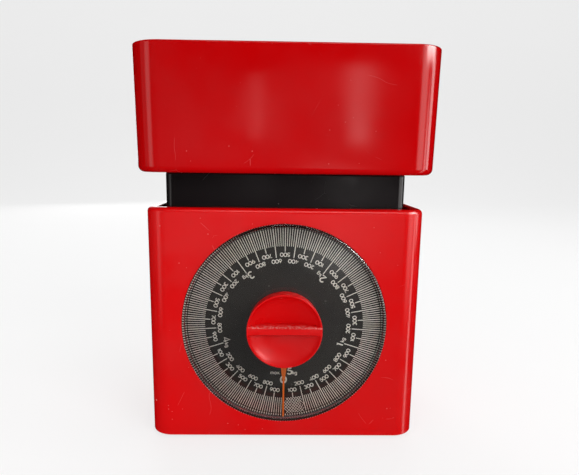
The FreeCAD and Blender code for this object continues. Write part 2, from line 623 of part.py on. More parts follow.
def main_springs():
    wire = "(spring_wire / 2)"
    coil = f"(spring_radius - {wire})"
    low_eye, high_eye = f"(bar_radius + {wire} + eye_play)", f"(anchor_radius + {wire} + eye_play)"
    bottom = f"(spring_bar_height + {low_eye} + spring_stem)"
    top = f"(anchor_height - {high_eye} - spring_stem)"
    for name, side in (("main_spring_left", -1), ("main_spring_right", 1)):
        x = f"{side} * spring_spread"
        helix = fresh("Part::Helix", "helix")
        bind(helix, "Radius", coil)
        bind(helix, "Height", f"{top} - {bottom}")
        bind(helix, "Pitch", f"({top} - {bottom}) / spring_coils")
        section = fresh("Part::Circle", "wire")
        bind(section, "Radius", wire)
        section.Placement.Rotation = Rotation(Vector(1, 0, 0), 90)
        bind(section, "Placement.Base.x", coil)
        doc.recompute()
        turns = fresh("Part::Sweep", "turns")
        turns.Sections = [section]
        turns.Spine = (helix, ["Edge1"])
        turns.Solid = True
        turns.Frenet = True
        place(turns, x, SPRING_Y, bottom)
        doc.recompute()
        parts = [turns]
        for bar_z, eye, end, ward in (("spring_bar_height", low_eye, bottom, 1),
                                      ("anchor_height", high_eye, top, -1)):
            ring = fresh("Part::Torus", "eye")
            bind(ring, "Radius1", eye)
            bind(ring, "Radius2", wire)
            ring.Placement.Rotation = Rotation(Vector(0, 1, 0), 90)
            parts.append(place(ring, x, SPRING_Y, bar_z))
            stem = (f"{bar_z} + {eye}", end) if ward > 0 else (end, f"{bar_z} - {eye}")
            parts.append(rod("Z", wire, *stem, x, SPRING_Y))
            parts.append(rod("X", wire, x, f"{x} + {coil}", SPRING_Y, end))
        keep(name, fuse(*parts))


# ---------------------------------------------------------------- rack and pinion

PITCH = "(pi * gear_module)"
PITCH_RADIUS = "(gear_module * pinion_teeth / 2)"
TOOTH_TIP, TOOTH_ROOT = "gear_module * 0.95", "gear_module * 1.3"
RACK_X = f"({PITCH_RADIUS} + {TOOTH_ROOT} + rack_width / 2)"
RACK_PIN_Z = f"({DIAL_Z} + {TRAVEL} + rack_pin_height)"
GEAR_FRONT = f"({PLATE_BACK} + gear_space)"


def rack_tooth_halves():
    """Half heights of a rack tooth at its root and at its tip."""
    root = f"({PITCH} * tooth_share / 2 + {TOOTH_ROOT} * tan(rack_lean))"
    tip = f"({PITCH} * tooth_share / 2 - {TOOTH_TIP} * tan(rack_lean))"
    return root, tip


def rack():
    body = new_body("rack")
    root, tip = rack_tooth_halves()
    bar = sketch_on(body, "rack_bar", "XZ_Plane")
    left, right = f"{PITCH_RADIUS} + {TOOTH_ROOT}", f"{PITCH_RADIUS} + {TOOTH_ROOT} + rack_width"
    low, high = f"-2 * {PITCH}", f"{RACK_PIN_Z} - {DIAL_Z} + rack_end"
    polygon_outline(bar, [(left, low), (right, low), (right, high), (left, high)])
    pad(body, bar, "pinion_width", upward=False)
    tooth = sketch_on(body, "rack_tooth", "XZ_Plane")
    inside = f"{PITCH_RADIUS} + {TOOTH_ROOT} + tooth_bite"
    first = f"-1.5 * {PITCH}"
    polygon_outline(tooth, [
        (inside, f"{first} - {root}"), (inside, f"{first} + {root}"),
        (f"{PITCH_RADIUS} + {TOOTH_ROOT}", f"{first} + {root}"),
        (f"{PITCH_RADIUS} - {TOOTH_TIP}", f"{first} + {tip}"),
        (f"{PITCH_RADIUS} - {TOOTH_TIP}", f"{first} - {tip}"),
        (f"{PITCH_RADIUS} + {TOOTH_ROOT}", f"{first} - {root}")])
    grown = pad(body, tooth, "pinion_width", upward=False)
    row = body.newObject("PartDesign::LinearPattern", "rack_teeth")
    row.Originals = [grown]
    row.Direction = (origin_plane(body, "Z_Axis"), [""])
    row.Occurrences = int(value("pinion_teeth")) + 4
    bind(row, "Length", f"{PITCH} * (pinion_teeth + 3)")
    body.Tip = row
    doc.recompute()
    hole = sketch_on(body, "rack_eye", "XZ_Plane")
    circle_outline(hole, "pin_radius * slim_share + running_play", RACK_X, f"{RACK_PIN_Z} - {DIAL_Z}")
    pocket(body, hole, "pinion_width", downward=True)
    seat(body, y=GEAR_FRONT, z=DIAL_Z)
    front, step = f"{GEAR_FRONT} - rack_pin_end", f"{GEAR_FRONT} + pinion_width + rack_pin_step"
    back = f"{MIDDLE} - carrier_front + sheet + carrier_pin_proud"
    keep("rack_pin", fuse(rod("Y", "pin_radius * slim_share", front, step, RACK_X, RACK_PIN_Z),
                          rod("Y", "pin_radius * rack_head_share", f"{front} - rack_pin_head", front, RACK_X,
                              RACK_PIN_Z),
                          rod("Y", "pin_radius", step, back, RACK_X, RACK_PIN_Z)))


def pinion():
    body = new_body("pinion")
    disc = sketch_on(body, "pinion_disc", "XZ_Plane")
    circle_outline(disc, f"{PITCH_RADIUS} - {TOOTH_ROOT}")
    pad(body, disc, "pinion_width", upward=False)
    tooth = sketch_on(body, "pinion_tooth", "XZ_Plane")
    inside = f"{PITCH_RADIUS} - {TOOTH_ROOT} - pinion_bite"
    half_root = f"({PITCH} * tooth_share / 2)"
    half_tip = f"({PITCH} * tooth_share / 2 - {TOOTH_TIP} * tan(pinion_lean))"
    polygon_outline(tooth, [
        (inside, f"-1 * {half_root}"), (PITCH_RADIUS, f"-1 * {half_root}"),
        (f"{PITCH_RADIUS} + {TOOTH_TIP}", f"-1 * {half_tip}"), (f"{PITCH_RADIUS} + {TOOTH_TIP}", half_tip),
        (PITCH_RADIUS, half_root), (inside, half_root)])
    grown = pad(body, tooth, "pinion_width", upward=False)
    ring = body.newObject("PartDesign::PolarPattern", "pinion_teeth_ring")
    ring.Originals = [grown]
    ring.Axis = (origin_plane(body, "Y_Axis"), [""])
    ring.Angle = 360
    ring.Occurrences = int(value("pinion_teeth"))
    body.Tip = ring
    doc.recompute()
    bore = sketch_on(body, "pinion_bore", "XZ_Plane")
    circle_outline(bore, "shaft_radius * slim_shaft_share + press_play")
    pocket(body, bore, "pinion_width")
    seat(body, y=GEAR_FRONT, z=DIAL_Z)


# ---------------------------------------------------------------- dial and its bearings

def dial():
    back = "(dial_depth + dial_thickness)"
    body = turned("dial_disc", [
        ("shaft_radius + running_play", "dial_depth"), ("dial_radius", "dial_depth"), ("dial_radius", back),
        ("shaft_radius + running_play", back)])
    seat(body, y=FACE, z=DIAL_Z)
    body = turned("dial_hub", [
        ("shaft_radius + running_play", back), ("hub_radius", back), ("hub_radius", f"{back} + hub_flange"),
        ("hub_radius / 2", f"{back} + hub_flange"), ("hub_radius / 2", f"{back} + hub_length"),
        ("shaft_radius + running_play", f"{back} + hub_length")])
    seat(body, y=FACE, z=DIAL_Z)
    shoulder = f"{GEAR_FRONT} - shoulder_play"
    keep("dial_shaft", fuse(
        rod("Y", "shaft_radius", f"{FACE} + dial_depth", shoulder, "0", DIAL_Z),
        rod("Y", "shaft_radius * slim_shaft_share", shoulder, f"{REAR_PLATE} + sheet + shaft_proud", "0",
            DIAL_Z)))


def bearings():
    wide = ("-bracket_half", "bracket_half")
    up = (FLOOR, f"{DIAL_Z} + bracket_top")
    parts = [block(wide, (PLATE_FRONT, PLATE_BACK), up),
             block(wide, (REAR_PLATE, f"{REAR_PLATE} + sheet"), up),
             block(wide, (PLATE_FRONT, f"{REAR_PLATE} + sheet"), (FLOOR, f"{FLOOR} + sheet"))]
    along = (f"{PLATE_FRONT} - past", f"{REAR_PLATE} + sheet + past")
    holes = [rod("Y", "bush_radius + press_play", *along, "0", DIAL_Z)]
    screws = []
    for x, y in BRACKET_SCREWS:
        holes.append(rod("Z", "screw_radius + hole_play", f"{FLOOR} - past", f"{FLOOR} + sheet + past", x, y))
        screws.append(screw("Z", f"{COVER_TOP} + bracket_screw_lift", f"{FLOOR} + sheet", x, y, head_low=False,
                            head="bracket_head", head_height="bracket_head_height"))
    keep("bearing_bracket", cut(fuse(*parts), *holes))
    keep("bracket_screws", group(*screws))
    for name, front, bore in (("front_bush", PLATE_FRONT, "shaft_radius"),
                              ("rear_bush", REAR_PLATE, "shaft_radius * slim_shaft_share")):
        lip = f"{front} - bush_lip"
        bush = fuse(rod("Y", "bush_radius", front, f"{front} + sheet", "0", DIAL_Z),
                    rod("Y", "bush_flange", lip, front, "0", DIAL_Z))
        keep(name, cut(bush, rod("Y", f"{bore} + running_play", f"{lip} - past", f"{front} + sheet + past", "0",
                                 DIAL_Z)))


# ---------------------------------------------------------------- dial window, knob and pointer

def lens():
    front, back = "-1 * lens_proud", "(lens_thickness - lens_proud)"
    flange_front = "(lip_thickness + turning_play)"
    flange_back = f"({flange_front} + flange_thickness)"
    body = turned("lens", [
        ("spigot_radius + running_play", front), ("lens_radius", front), ("lens_radius", flange_front),
        (FLANGE_RADIUS, flange_front), (FLANGE_RADIUS, flange_back),
        ("lens_radius - lens_skirt", flange_back), ("lens_radius - lens_skirt", back),
        ("spigot_radius + running_play", back)])
    edge = value(front)
    outer = value("lens_radius")
    round_edges(body, "lens_round", lambda line, middle: (
        line.BoundBox.YLength < 0.01 and abs(middle.y - edge) < 0.01
        and abs(math.hypot(middle.x, middle.z) - outer) < 0.1))
    seat(body, y=FACE, z=DIAL_Z)


def knob():
    front = "-1 * knob_length"
    cup = "(knob_front_radius - knob_rim)"
    body = turned("knob", [
        ("0", "lens_thickness"), ("spigot_radius", "lens_thickness"), ("spigot_radius", "0"),
        ("knob_radius", "0"), ("knob_front_radius", front), (cup, front),
        (f"{cup} - scoop_slope / 10", f"{front} + scoop_slope / 2"),
        (f"{cup} - scoop_slope / 2", "-1 * knob_floor - scoop_slope / 4"),
        (f"{cup} - scoop_slope", "-1 * knob_floor"),
        ("0", "-1 * knob_floor")])
    ridge = sketch_on(body, "grip_ridge", "XZ_Plane", "knob_floor / 2")
    reach = "(knob_front_radius - knob_rim / 2)"
    polygon_outline(ridge, [(f"-1 * {reach}", "-ridge_width / 2"), (reach, "-ridge_width / 2"),
                            (reach, "ridge_width / 2"), (f"-1 * {reach}", "ridge_width / 2")])
    pad(body, ridge, "knob_length - knob_floor / 2")
    bore = sketch_on(body, "knob_screw_bore", "XZ_Plane", "-1 * lens_thickness")
    circle_outline(bore, "screw_radius + running_play")
    pocket(body, bore, "lens_thickness + knob_screw_bite", downward=False)
    seat(body, y=f"{FACE} - lens_proud", z=DIAL_Z)


def pointer():
    body = new_body("pointer")
    back = "(lens_thickness - lens_proud)"
    neck_end = "(knob_radius + neck_past_knob)"
    outline = sketch_on(body, "pointer_blade", "XZ_Plane", f"-1 * {back}")
    polygon_outline(outline, [
        ("-pointer_neck / 2", "0"), ("-pointer_neck / 2", "-pointer_root"),
        ("-pointer_neck / 2", f"-1 * {neck_end}"),
        ("-pointer_width / 2", "-pointer_wedge"), ("-pointer_width / 2", "-pointer_reach"),
        ("pointer_width / 2", "-pointer_reach"), ("pointer_width / 2", "-pointer_wedge"),
        ("pointer_neck / 2", f"-1 * {neck_end}"), ("pointer_neck / 2", "0")])
    pad(body, outline, "pointer_thickness", upward=False)
    boss = sketch_on(body, "pointer_boss", "XZ_Plane", f"-1 * {back}")
    circle_outline(boss, "pointer_root")
    pad(body, boss, "pointer_thickness", upward=False)
    bore = sketch_on(body, "pointer_bore", "XZ_Plane", f"-1 * {back}")
    circle_outline(bore, "screw_radius + running_play")
    pocket(body, bore, "pointer_thickness")
    seat(body, y=FACE, z=DIAL_Z)
    behind = f"({FACE} + {back} + pointer_thickness)"
    keep("knob_screw", screw("Y", f"{FACE} - lens_proud - knob_screw_bite + past", behind, "0", DIAL_Z,
                             head_low=False, head="knob_screw_head", head_height="knob_screw_head_height"))


# ---------------------------------------------------------------- build, check and write

def build():
    base_shell()
    bottom_cover()
    feet()
    housing_screws()
    lens_ring()
    platform_cover()
    bowl()
    carrier()
    carrier_pins()
    mechanism_frame()
    spring_anchor()
    lever_pins()
    levers()
    main_springs()
    rack()
    pinion()
    dial()
    bearings()
    lens()
    knob()
    pointer()
    doc.recompute()


def check_and_write():
    for thing in doc.Objects:
        if "Invalid" in thing.State or "Error" in thing.State:
            raise ValueError(f"{thing.Name} ({thing.Label}) did not recompute: {thing.State}")
    for name, thing in pieces.items():
        if thing.Shape.isNull() or not thing.Shape.isValid():
            raise ValueError(f"{name} has no valid shape")
    os.makedirs("parts", exist_ok=True)
    for name, thing in pieces.items():
        thing.Shape.exportStep(f"parts/{name}.step")
        print(name, len(thing.Shape.Solids), round(thing.Shape.Volume, 1))


build()
check_and_write()
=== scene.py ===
import json
import math

import bmesh
import bpy
from mathutils import Matrix, Vector


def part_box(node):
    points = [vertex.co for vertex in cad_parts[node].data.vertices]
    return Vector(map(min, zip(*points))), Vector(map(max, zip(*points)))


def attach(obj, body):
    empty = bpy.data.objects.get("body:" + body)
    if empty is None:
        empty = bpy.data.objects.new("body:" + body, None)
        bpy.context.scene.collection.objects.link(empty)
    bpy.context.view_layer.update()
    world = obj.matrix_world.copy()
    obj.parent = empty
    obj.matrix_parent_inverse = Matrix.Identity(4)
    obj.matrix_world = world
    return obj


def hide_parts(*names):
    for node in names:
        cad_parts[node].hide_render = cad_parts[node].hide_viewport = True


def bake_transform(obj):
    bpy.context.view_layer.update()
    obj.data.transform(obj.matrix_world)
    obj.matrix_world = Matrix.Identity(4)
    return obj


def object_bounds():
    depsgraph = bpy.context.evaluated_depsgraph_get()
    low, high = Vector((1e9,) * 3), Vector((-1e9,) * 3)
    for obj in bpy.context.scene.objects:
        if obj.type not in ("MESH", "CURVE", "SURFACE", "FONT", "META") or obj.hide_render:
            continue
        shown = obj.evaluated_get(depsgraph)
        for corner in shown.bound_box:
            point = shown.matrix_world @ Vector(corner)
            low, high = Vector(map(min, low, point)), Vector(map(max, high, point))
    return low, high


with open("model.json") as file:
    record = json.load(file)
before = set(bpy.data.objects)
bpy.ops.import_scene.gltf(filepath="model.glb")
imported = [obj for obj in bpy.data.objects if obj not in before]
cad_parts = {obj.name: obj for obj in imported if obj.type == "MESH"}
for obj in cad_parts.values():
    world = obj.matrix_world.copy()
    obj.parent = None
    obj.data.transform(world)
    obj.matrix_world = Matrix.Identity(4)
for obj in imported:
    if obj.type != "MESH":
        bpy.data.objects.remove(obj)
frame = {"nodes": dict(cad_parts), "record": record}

# A red kitchen scale: housing, bowl and platform as moulded shells, a printed dial under a clear
# window, a grip knob with its pointer, and the mechanism inside. Metres; -Y is out of the dial.

MM = 0.001
cad_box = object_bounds()


# ---------------------------------------------------------------- places, read from the frame

class Box:
    """A node's box at rest, with its middle and its size."""

    def __init__(self, node):
        low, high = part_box(node)
        self.low, self.high = Vector(low), Vector(high)
        self.middle = (self.low + self.high) / 2
        self.size = self.high - self.low


SHELL, PLATFORM, BOWL = Box("base_shell"), Box("platform_cover"), Box("bowl")
LENS, DIAL, KNOB, POINTER = Box("lens"), Box("dial_disc"), Box("knob"), Box("pointer")
FACE_Y = SHELL.low.y                      # the housing's front face
HUB = Vector((0, FACE_Y, DIAL.middle.z))  # where the dial's axis meets that face


# ---------------------------------------------------------------- node trees

def add(tree, kind, inputs=None, **settings):
    """One node, with its settings, and its inputs given as values or as sockets to link."""
    node = tree.nodes.new(kind)
    for name, setting in settings.items():
        setattr(node, name, setting)
    for name, source in (inputs or {}).items():
        if isinstance(source, bpy.types.NodeSocket):
            tree.links.new(source, node.inputs[name])
        else:
            node.inputs[name].default_value = source
    return node


def sums(tree, operation, first, second=0.0, third=0.0):
    """The result of a Math node."""
    return add(tree, "ShaderNodeMath", {0: first, 1: second, 2: third}, operation=operation).outputs[0]


def ramp(tree, source, low, high, bottom=0.0, top=1.0):
    """Takes a value that runs from low to high and makes it run smoothly from bottom to top."""
    return add(tree, "ShaderNodeMapRange", {"Value": source, "From Min": low, "From Max": high,
                                            "To Min": bottom, "To Max": top},
               interpolation_type="SMOOTHSTEP").outputs["Result"]


def noise(tree, vector, scale, detail=3.0, roughness=0.5):
    """Soft random values from 0 to 1, with `scale` patches to the metre."""
    return add(tree, "ShaderNodeTexNoise", {"Vector": vector, "Scale": scale, "Detail": detail,
                                            "Roughness": roughness}).outputs["Fac"]


def blend_colours(tree, mask, under, over):
    """One colour laid over another where the mask says."""
    mixer = add(tree, "ShaderNodeMix", {"Factor": mask}, data_type="RGBA")
    for socket, colour in ((mixer.inputs[6], under), (mixer.inputs[7], over)):
        if isinstance(colour, bpy.types.NodeSocket):
            tree.links.new(colour, socket)
        else:
            socket.default_value = colour
    return mixer.outputs[2]


def effect(name, inputs, outputs, fill):
    """A shader node group with named inputs (and their usual values) and named outputs."""
    group = bpy.data.node_groups.new(name, "ShaderNodeTree")
    for label, kind, usual in inputs:
        socket = group.interface.new_socket(label, in_out="INPUT", socket_type=f"NodeSocket{kind}")
        if usual is not None:
            socket.default_value = usual
    for label, kind in outputs:
        group.interface.new_socket(label, in_out="OUTPUT", socket_type=f"NodeSocket{kind}")
    entry = group.nodes.new("NodeGroupInput")
    results = fill(group, entry.outputs)
    ending = group.nodes.new("NodeGroupOutput")
    for label, source in results.items():
        group.links.new(source, ending.inputs[label])
    return group


def fill_dust(tree, given):
    """Specks of dust: one in some of the cells, of varying size."""
    cells = add(tree, "ShaderNodeTexVoronoi", {"Vector": given["Vector"], "Scale": given["Scale"],
                                               "Randomness": 1.0})
    parts = add(tree, "ShaderNodeSeparateColor", {"Color": cells.outputs["Color"]})
    chosen = sums(tree, "LESS_THAN", parts.outputs[0], given["Share"])
    radius = sums(tree, "MULTIPLY", parts.outputs[1], given["Size"])
    inside = ramp(tree, sums(tree, "SUBTRACT", radius, cells.outputs["Distance"]), 0.0, 0.03)
    return {"Mask": sums(tree, "MULTIPLY", inside, chosen)}


def fill_scuffs(tree, given):
    """Hairline scratches: broken stretches of a warped web of lines."""
    warp = add(tree, "ShaderNodeTexNoise", {"Vector": given["Vector"], "Scale": 25.0, "Detail": 2.0})
    shift = add(tree, "ShaderNodeVectorMath", {0: warp.outputs["Color"], "Scale": 0.02}, operation="SCALE")
    moved = add(tree, "ShaderNodeVectorMath", {0: given["Vector"], 1: shift.outputs[0]}, operation="ADD")
    web = add(tree, "ShaderNodeTexVoronoi", {"Vector": moved.outputs[0], "Scale": given["Scale"]},
              feature="DISTANCE_TO_EDGE")
    line = ramp(tree, web.outputs["Distance"], 0.0, given["Width"], 1.0, 0.0)
    broken = ramp(tree, noise(tree, given["Vector"], 60.0, 2.0), 0.56, 0.66)
    return {"Mask": sums(tree, "MULTIPLY", line, broken)}


def fill_smudges(tree, given):
    """Soft patches where hands and cloths have been, from 0 to 1."""
    broad = noise(tree, given["Vector"], given["Scale"], 4.0, 0.6)
    fine = noise(tree, given["Vector"], sums(tree, "MULTIPLY", given["Scale"], 6.0), 2.0)
    both = sums(tree, "MULTIPLY_ADD", fine, 0.35, sums(tree, "MULTIPLY", broad, 0.65))
    return {"Mask": ramp(tree, both, 0.35, 0.65)}


def fill_ledge_dust(tree, given):
    """A thin broken line at one height, from 0 to 1, the mask of a pale line laid into a colour."""
    place = add(tree, "ShaderNodeSeparateXYZ", {"Vector": given["Vector"]})
    away = sums(tree, "ABSOLUTE", sums(tree, "SUBTRACT", place.outputs["Z"], given["Height"]))
    line = ramp(tree, away, 0.0, given["Spread"], 1.0, 0.0)
    broken = ramp(tree, noise(tree, given["Vector"], 800.0, 3.0), 0.40, 0.62)
    return {"Mask": sums(tree, "MULTIPLY", line, broken)}


def fill_moulded(tree, given):
    """The slight waviness and the fine peel of a moulded surface, as a height in metres."""
    waves = noise(tree, given["Vector"], given["Wave Scale"], 1.0)
    peel = noise(tree, given["Vector"], given["Peel Scale"], 2.0)
    height = sums(tree, "MULTIPLY_ADD", waves, given["Wave Height"],
                  sums(tree, "MULTIPLY", peel, given["Peel Height"]))
    return {"Height": height}


def fill_grain(tree, given):
    """Long fine streaks along one axis, from 0 to 1, as on rolled or drawn metal."""
    stretched = add(tree, "ShaderNodeVectorMath", {0: given["Vector"], 1: given["Stretch"]},
                    operation="MULTIPLY")
    return {"Mask": noise(tree, stretched.outputs[0], 900.0, 3.0, 0.65)}


def fill_worn_edge(tree, given):
    """The raised edges of a piece, from 0 to 1, broken up by wear."""
    shape = add(tree, "ShaderNodeNewGeometry")
    sharp = ramp(tree, shape.outputs["Pointiness"], 0.52, 0.60)
    rubbed = ramp(tree, noise(tree, given["Vector"], 180.0, 3.0), 0.40, 0.62)
    return {"Mask": sums(tree, "MULTIPLY", sums(tree, "MULTIPLY", sharp, rubbed), given["Amount"])}


VECTOR = ("Vector", "Vector", None)
DUST = effect("dust_specks", [VECTOR, ("Scale", "Float", 160.0), ("Share", "Float", 0.1),
                              ("Size", "Float", 0.2)], [("Mask", "Float")], fill_dust)
SCUFFS = effect("light_scuffs", [VECTOR, ("Scale", "Float", 28.0), ("Width", "Float", 0.004)],
                [("Mask", "Float")], fill_scuffs)
SMUDGES = effect("hand_smudges", [VECTOR, ("Scale", "Float", 18.0)], [("Mask", "Float")], fill_smudges)
PALE_LEDGE_LINE = effect("pale_ledge_line", [VECTOR, ("Height", "Float", 0.0), ("Spread", "Float", 0.001)],
                    [("Mask", "Float")], fill_ledge_dust)
MOULDED = effect("moulded_skin", [VECTOR, ("Wave Scale", "Float", 14.0), ("Wave Height", "Float", 0.0004),
                                  ("Peel Scale", "Float", 700.0), ("Peel Height", "Float", 0.00001)],
                 [("Height", "Float")], fill_moulded)
GRAIN = effect("metal_grain", [VECTOR, ("Stretch", "Vector", (1.0, 1.0, 1.0))], [("Mask", "Float")], fill_grain)
WORN_EDGE = effect("worn_edge", [VECTOR, ("Amount", "Float", 1.0)], [("Mask", "Float")], fill_worn_edge)


def placed(tree, group, vector, **inputs):
    """A node group in a material, with its own values, and its first output."""
    node = add(tree, "ShaderNodeGroup", node_tree=group)
    tree.links.new(vector, node.inputs["Vector"])
    for label, source in inputs.items():
        label = label.replace("_", " ").title()
        if isinstance(source, bpy.types.NodeSocket):
            tree.links.new(source, node.inputs[label])
        else:
            node.inputs[label].default_value = source
    return node.outputs[0]


# ---------------------------------------------------------------- materials

def start_material(name, **plain):
    """A material with its shader, the piece's own coordinates, and the plain values on the shader."""
    material = bpy.data.materials.new(name)
    material.use_nodes = True
    tree = material.node_tree
    shader = tree.nodes["Principled BSDF"]
    for label, amount in plain.items():
        shader.inputs[label.replace("_", " ").title().replace("Ior", "IOR")].default_value = amount
    where = add(tree, "ShaderNodeTexCoord").outputs["Object"]
    return material, tree, shader, where


def bump(tree, shader, height, distance=1.0, strength=1.0):
    """Raises the shader's surface by a height in metres."""
    raised = add(tree, "ShaderNodeBump", {"Height": height, "Distance": distance, "Strength": strength})
    tree.links.new(raised.outputs[0], shader.inputs["Normal"])


def moulded_plastic(name, colour, deep, dust_colour, roughness, wave_height=0.0003, dust_share=0.05,
                    scuff=0.05, gloss=0.4, ledge=None):
    """Glossy moulded plastic: slow changes of shade, smudges, hairline scuffs and specks of dust."""
    material, tree, shader, where = start_material(name, ior=1.5)
    shader.inputs["Specular IOR Level"].default_value = gloss
    smudge = placed(tree, SMUDGES, where, scale=16.0)
    shade = ramp(tree, noise(tree, where, 9.0, 2.0), 0.3, 0.7)
    base = blend_colours(tree, shade, colour, deep)
    scuffed = placed(tree, SCUFFS, where, scale=24.0, width=0.0035)
    base = blend_colours(tree, sums(tree, "MULTIPLY", scuffed, scuff), base, dust_colour)
    speck = placed(tree, DUST, where, scale=170.0, share=dust_share, size=0.16)
    fine = placed(tree, DUST, where, scale=480.0, share=dust_share * 0.8, size=0.24)
    dusty = sums(tree, "MAXIMUM", sums(tree, "MULTIPLY", speck, 0.30), sums(tree, "MULTIPLY", fine, 0.16))
    base = blend_colours(tree, dusty, base, dust_colour)
    # Where a height is given, a thin broken pale line is laid into the colour at that height, all round the
    # piece.
    if ledge is not None:
        ledge_line = placed(tree, PALE_LEDGE_LINE, where, height=ledge, spread=0.7 * MM)
        base = blend_colours(tree, sums(tree, "MULTIPLY", ledge_line, 0.38), base, dust_colour)
    tree.links.new(base, shader.inputs["Base Color"])
    rough = sums(tree, "MULTIPLY_ADD", smudge, roughness * 0.45, roughness * 0.8)
    rough = sums(tree, "MULTIPLY_ADD", sums(tree, "MAXIMUM", scuffed, dusty), 0.35, rough)
    tree.links.new(rough, shader.inputs["Roughness"])
    skin = placed(tree, MOULDED, where, wave_height=wave_height, peel_height=0.000004)
    raised = sums(tree, "MULTIPLY_ADD", dusty, 0.00002, skin)
    bump(tree, shader, raised)
    return material


def sheet_metal(name, colour, dull, roughness, stretch):
    """Plated or bare metal with a drawn grain, dull patches and bright rubbed edges."""
    material, tree, shader, where = start_material(name, metallic=1.0)
    streaks = placed(tree, GRAIN, where, stretch=stretch)
    patches = placed(tree, SMUDGES, where, scale=30.0)
    base = blend_colours(tree, sums(tree, "MULTIPLY", patches, 0.7), colour, dull)
    base = blend_colours(tree, sums(tree, "MULTIPLY", streaks, 0.25), base, dull)
    bright = placed(tree, WORN_EDGE, where, amount=0.6)
    base = blend_colours(tree, bright, base, (0.9, 0.9, 0.88, 1))
    tree.links.new(base, shader.inputs["Base Color"])
    rough = sums(tree, "MULTIPLY_ADD", streaks, 0.25, roughness)
    tree.links.new(sums(tree, "MULTIPLY_ADD", patches, 0.12, rough), shader.inputs["Roughness"])
    bump(tree, shader, streaks, 0.00002, 0.6)
    return material


def flat_black_plate(name):
    """The dial's printed ground: warm black, fine-grained, with a little dust under the window."""
    material, tree, shader, where = start_material(name, ior=1.45)
    patches = placed(tree, SMUDGES, where, scale=22.0)
    base = blend_colours(tree, patches, (0.0105, 0.0085, 0.0075, 1), (0.017, 0.014, 0.012, 1))
    speck = placed(tree, DUST, where, scale=210.0, share=0.12, size=0.25)
    base = blend_colours(tree, sums(tree, "MULTIPLY", speck, 0.10), base, (0.5, 0.47, 0.42, 1))
    tree.links.new(base, shader.inputs["Base Color"])
    grain = noise(tree, where, 1500.0, 1.0)
    tree.links.new(sums(tree, "MULTIPLY_ADD", grain, 0.08, 0.42), shader.inputs["Roughness"])
    bump(tree, shader, grain, 0.0000004)
    return material


def printed_ink(name, colour, faded):
    """Screen-printed ink, a little uneven from place to place."""
    material, tree, shader, where = start_material(name, ior=1.45)
    patches = placed(tree, SMUDGES, where, scale=45.0)
    tree.links.new(blend_colours(tree, patches, colour, faded), shader.inputs["Base Color"])
    grain = noise(tree, where, 3000.0, 2.0)
    tree.links.new(sums(tree, "MULTIPLY_ADD", grain, 0.2, 0.45), shader.inputs["Roughness"])
    bump(tree, shader, grain, 0.000002)
    return material


def clear_window(name):
    """Clear moulded plastic with faint hairlines; light passes straight through it to the dial."""
    material, tree, shader, where = start_material(
        name, ior=1.49, transmission_weight=1.0, base_color=(1.0, 1.0, 0.99, 1))
    lines = placed(tree, SCUFFS, where, scale=26.0, width=0.005)
    speck = placed(tree, DUST, where, scale=240.0, share=0.10, size=0.25)
    marks = sums(tree, "MAXIMUM", sums(tree, "MULTIPLY", lines, 0.3), sums(tree, "MULTIPLY", speck, 0.5))
    tree.links.new(sums(tree, "MULTIPLY_ADD", marks, 0.2, 0.01), shader.inputs["Roughness"])
    skin = placed(tree, MOULDED, where, wave_height=0.00002, peel_height=0.0)
    bump(tree, shader, skin)
    through = add(tree, "ShaderNodeBsdfTransparent", {"Color": (0.99, 0.99, 0.98, 1)})
    path = add(tree, "ShaderNodeLightPath")
    mixer = add(tree, "ShaderNodeMixShader", {0: path.outputs["Is Shadow Ray"], 1: shader.outputs[0],
                                             2: through.outputs[0]})
    tree.links.new(mixer.outputs[0], tree.nodes["Material Output"].inputs["Surface"])
    return material


def foot_rubber(name):
    """Dull black rubber with paler rubbed patches."""
    material, tree, shader, where = start_material(name, ior=1.5)
    patches = placed(tree, SMUDGES, where, scale=60.0)
    tree.links.new(blend_colours(tree, patches, (0.012, 0.012, 0.012, 1), (0.035, 0.033, 0.03, 1)),
                   shader.inputs["Base Color"])
    grain = noise(tree, where, 1800.0, 3.0)
    tree.links.new(sums(tree, "MULTIPLY_ADD", grain, 0.2, 0.62), shader.inputs["Roughness"])
    bump(tree, shader, grain, 0.00005)
    return material


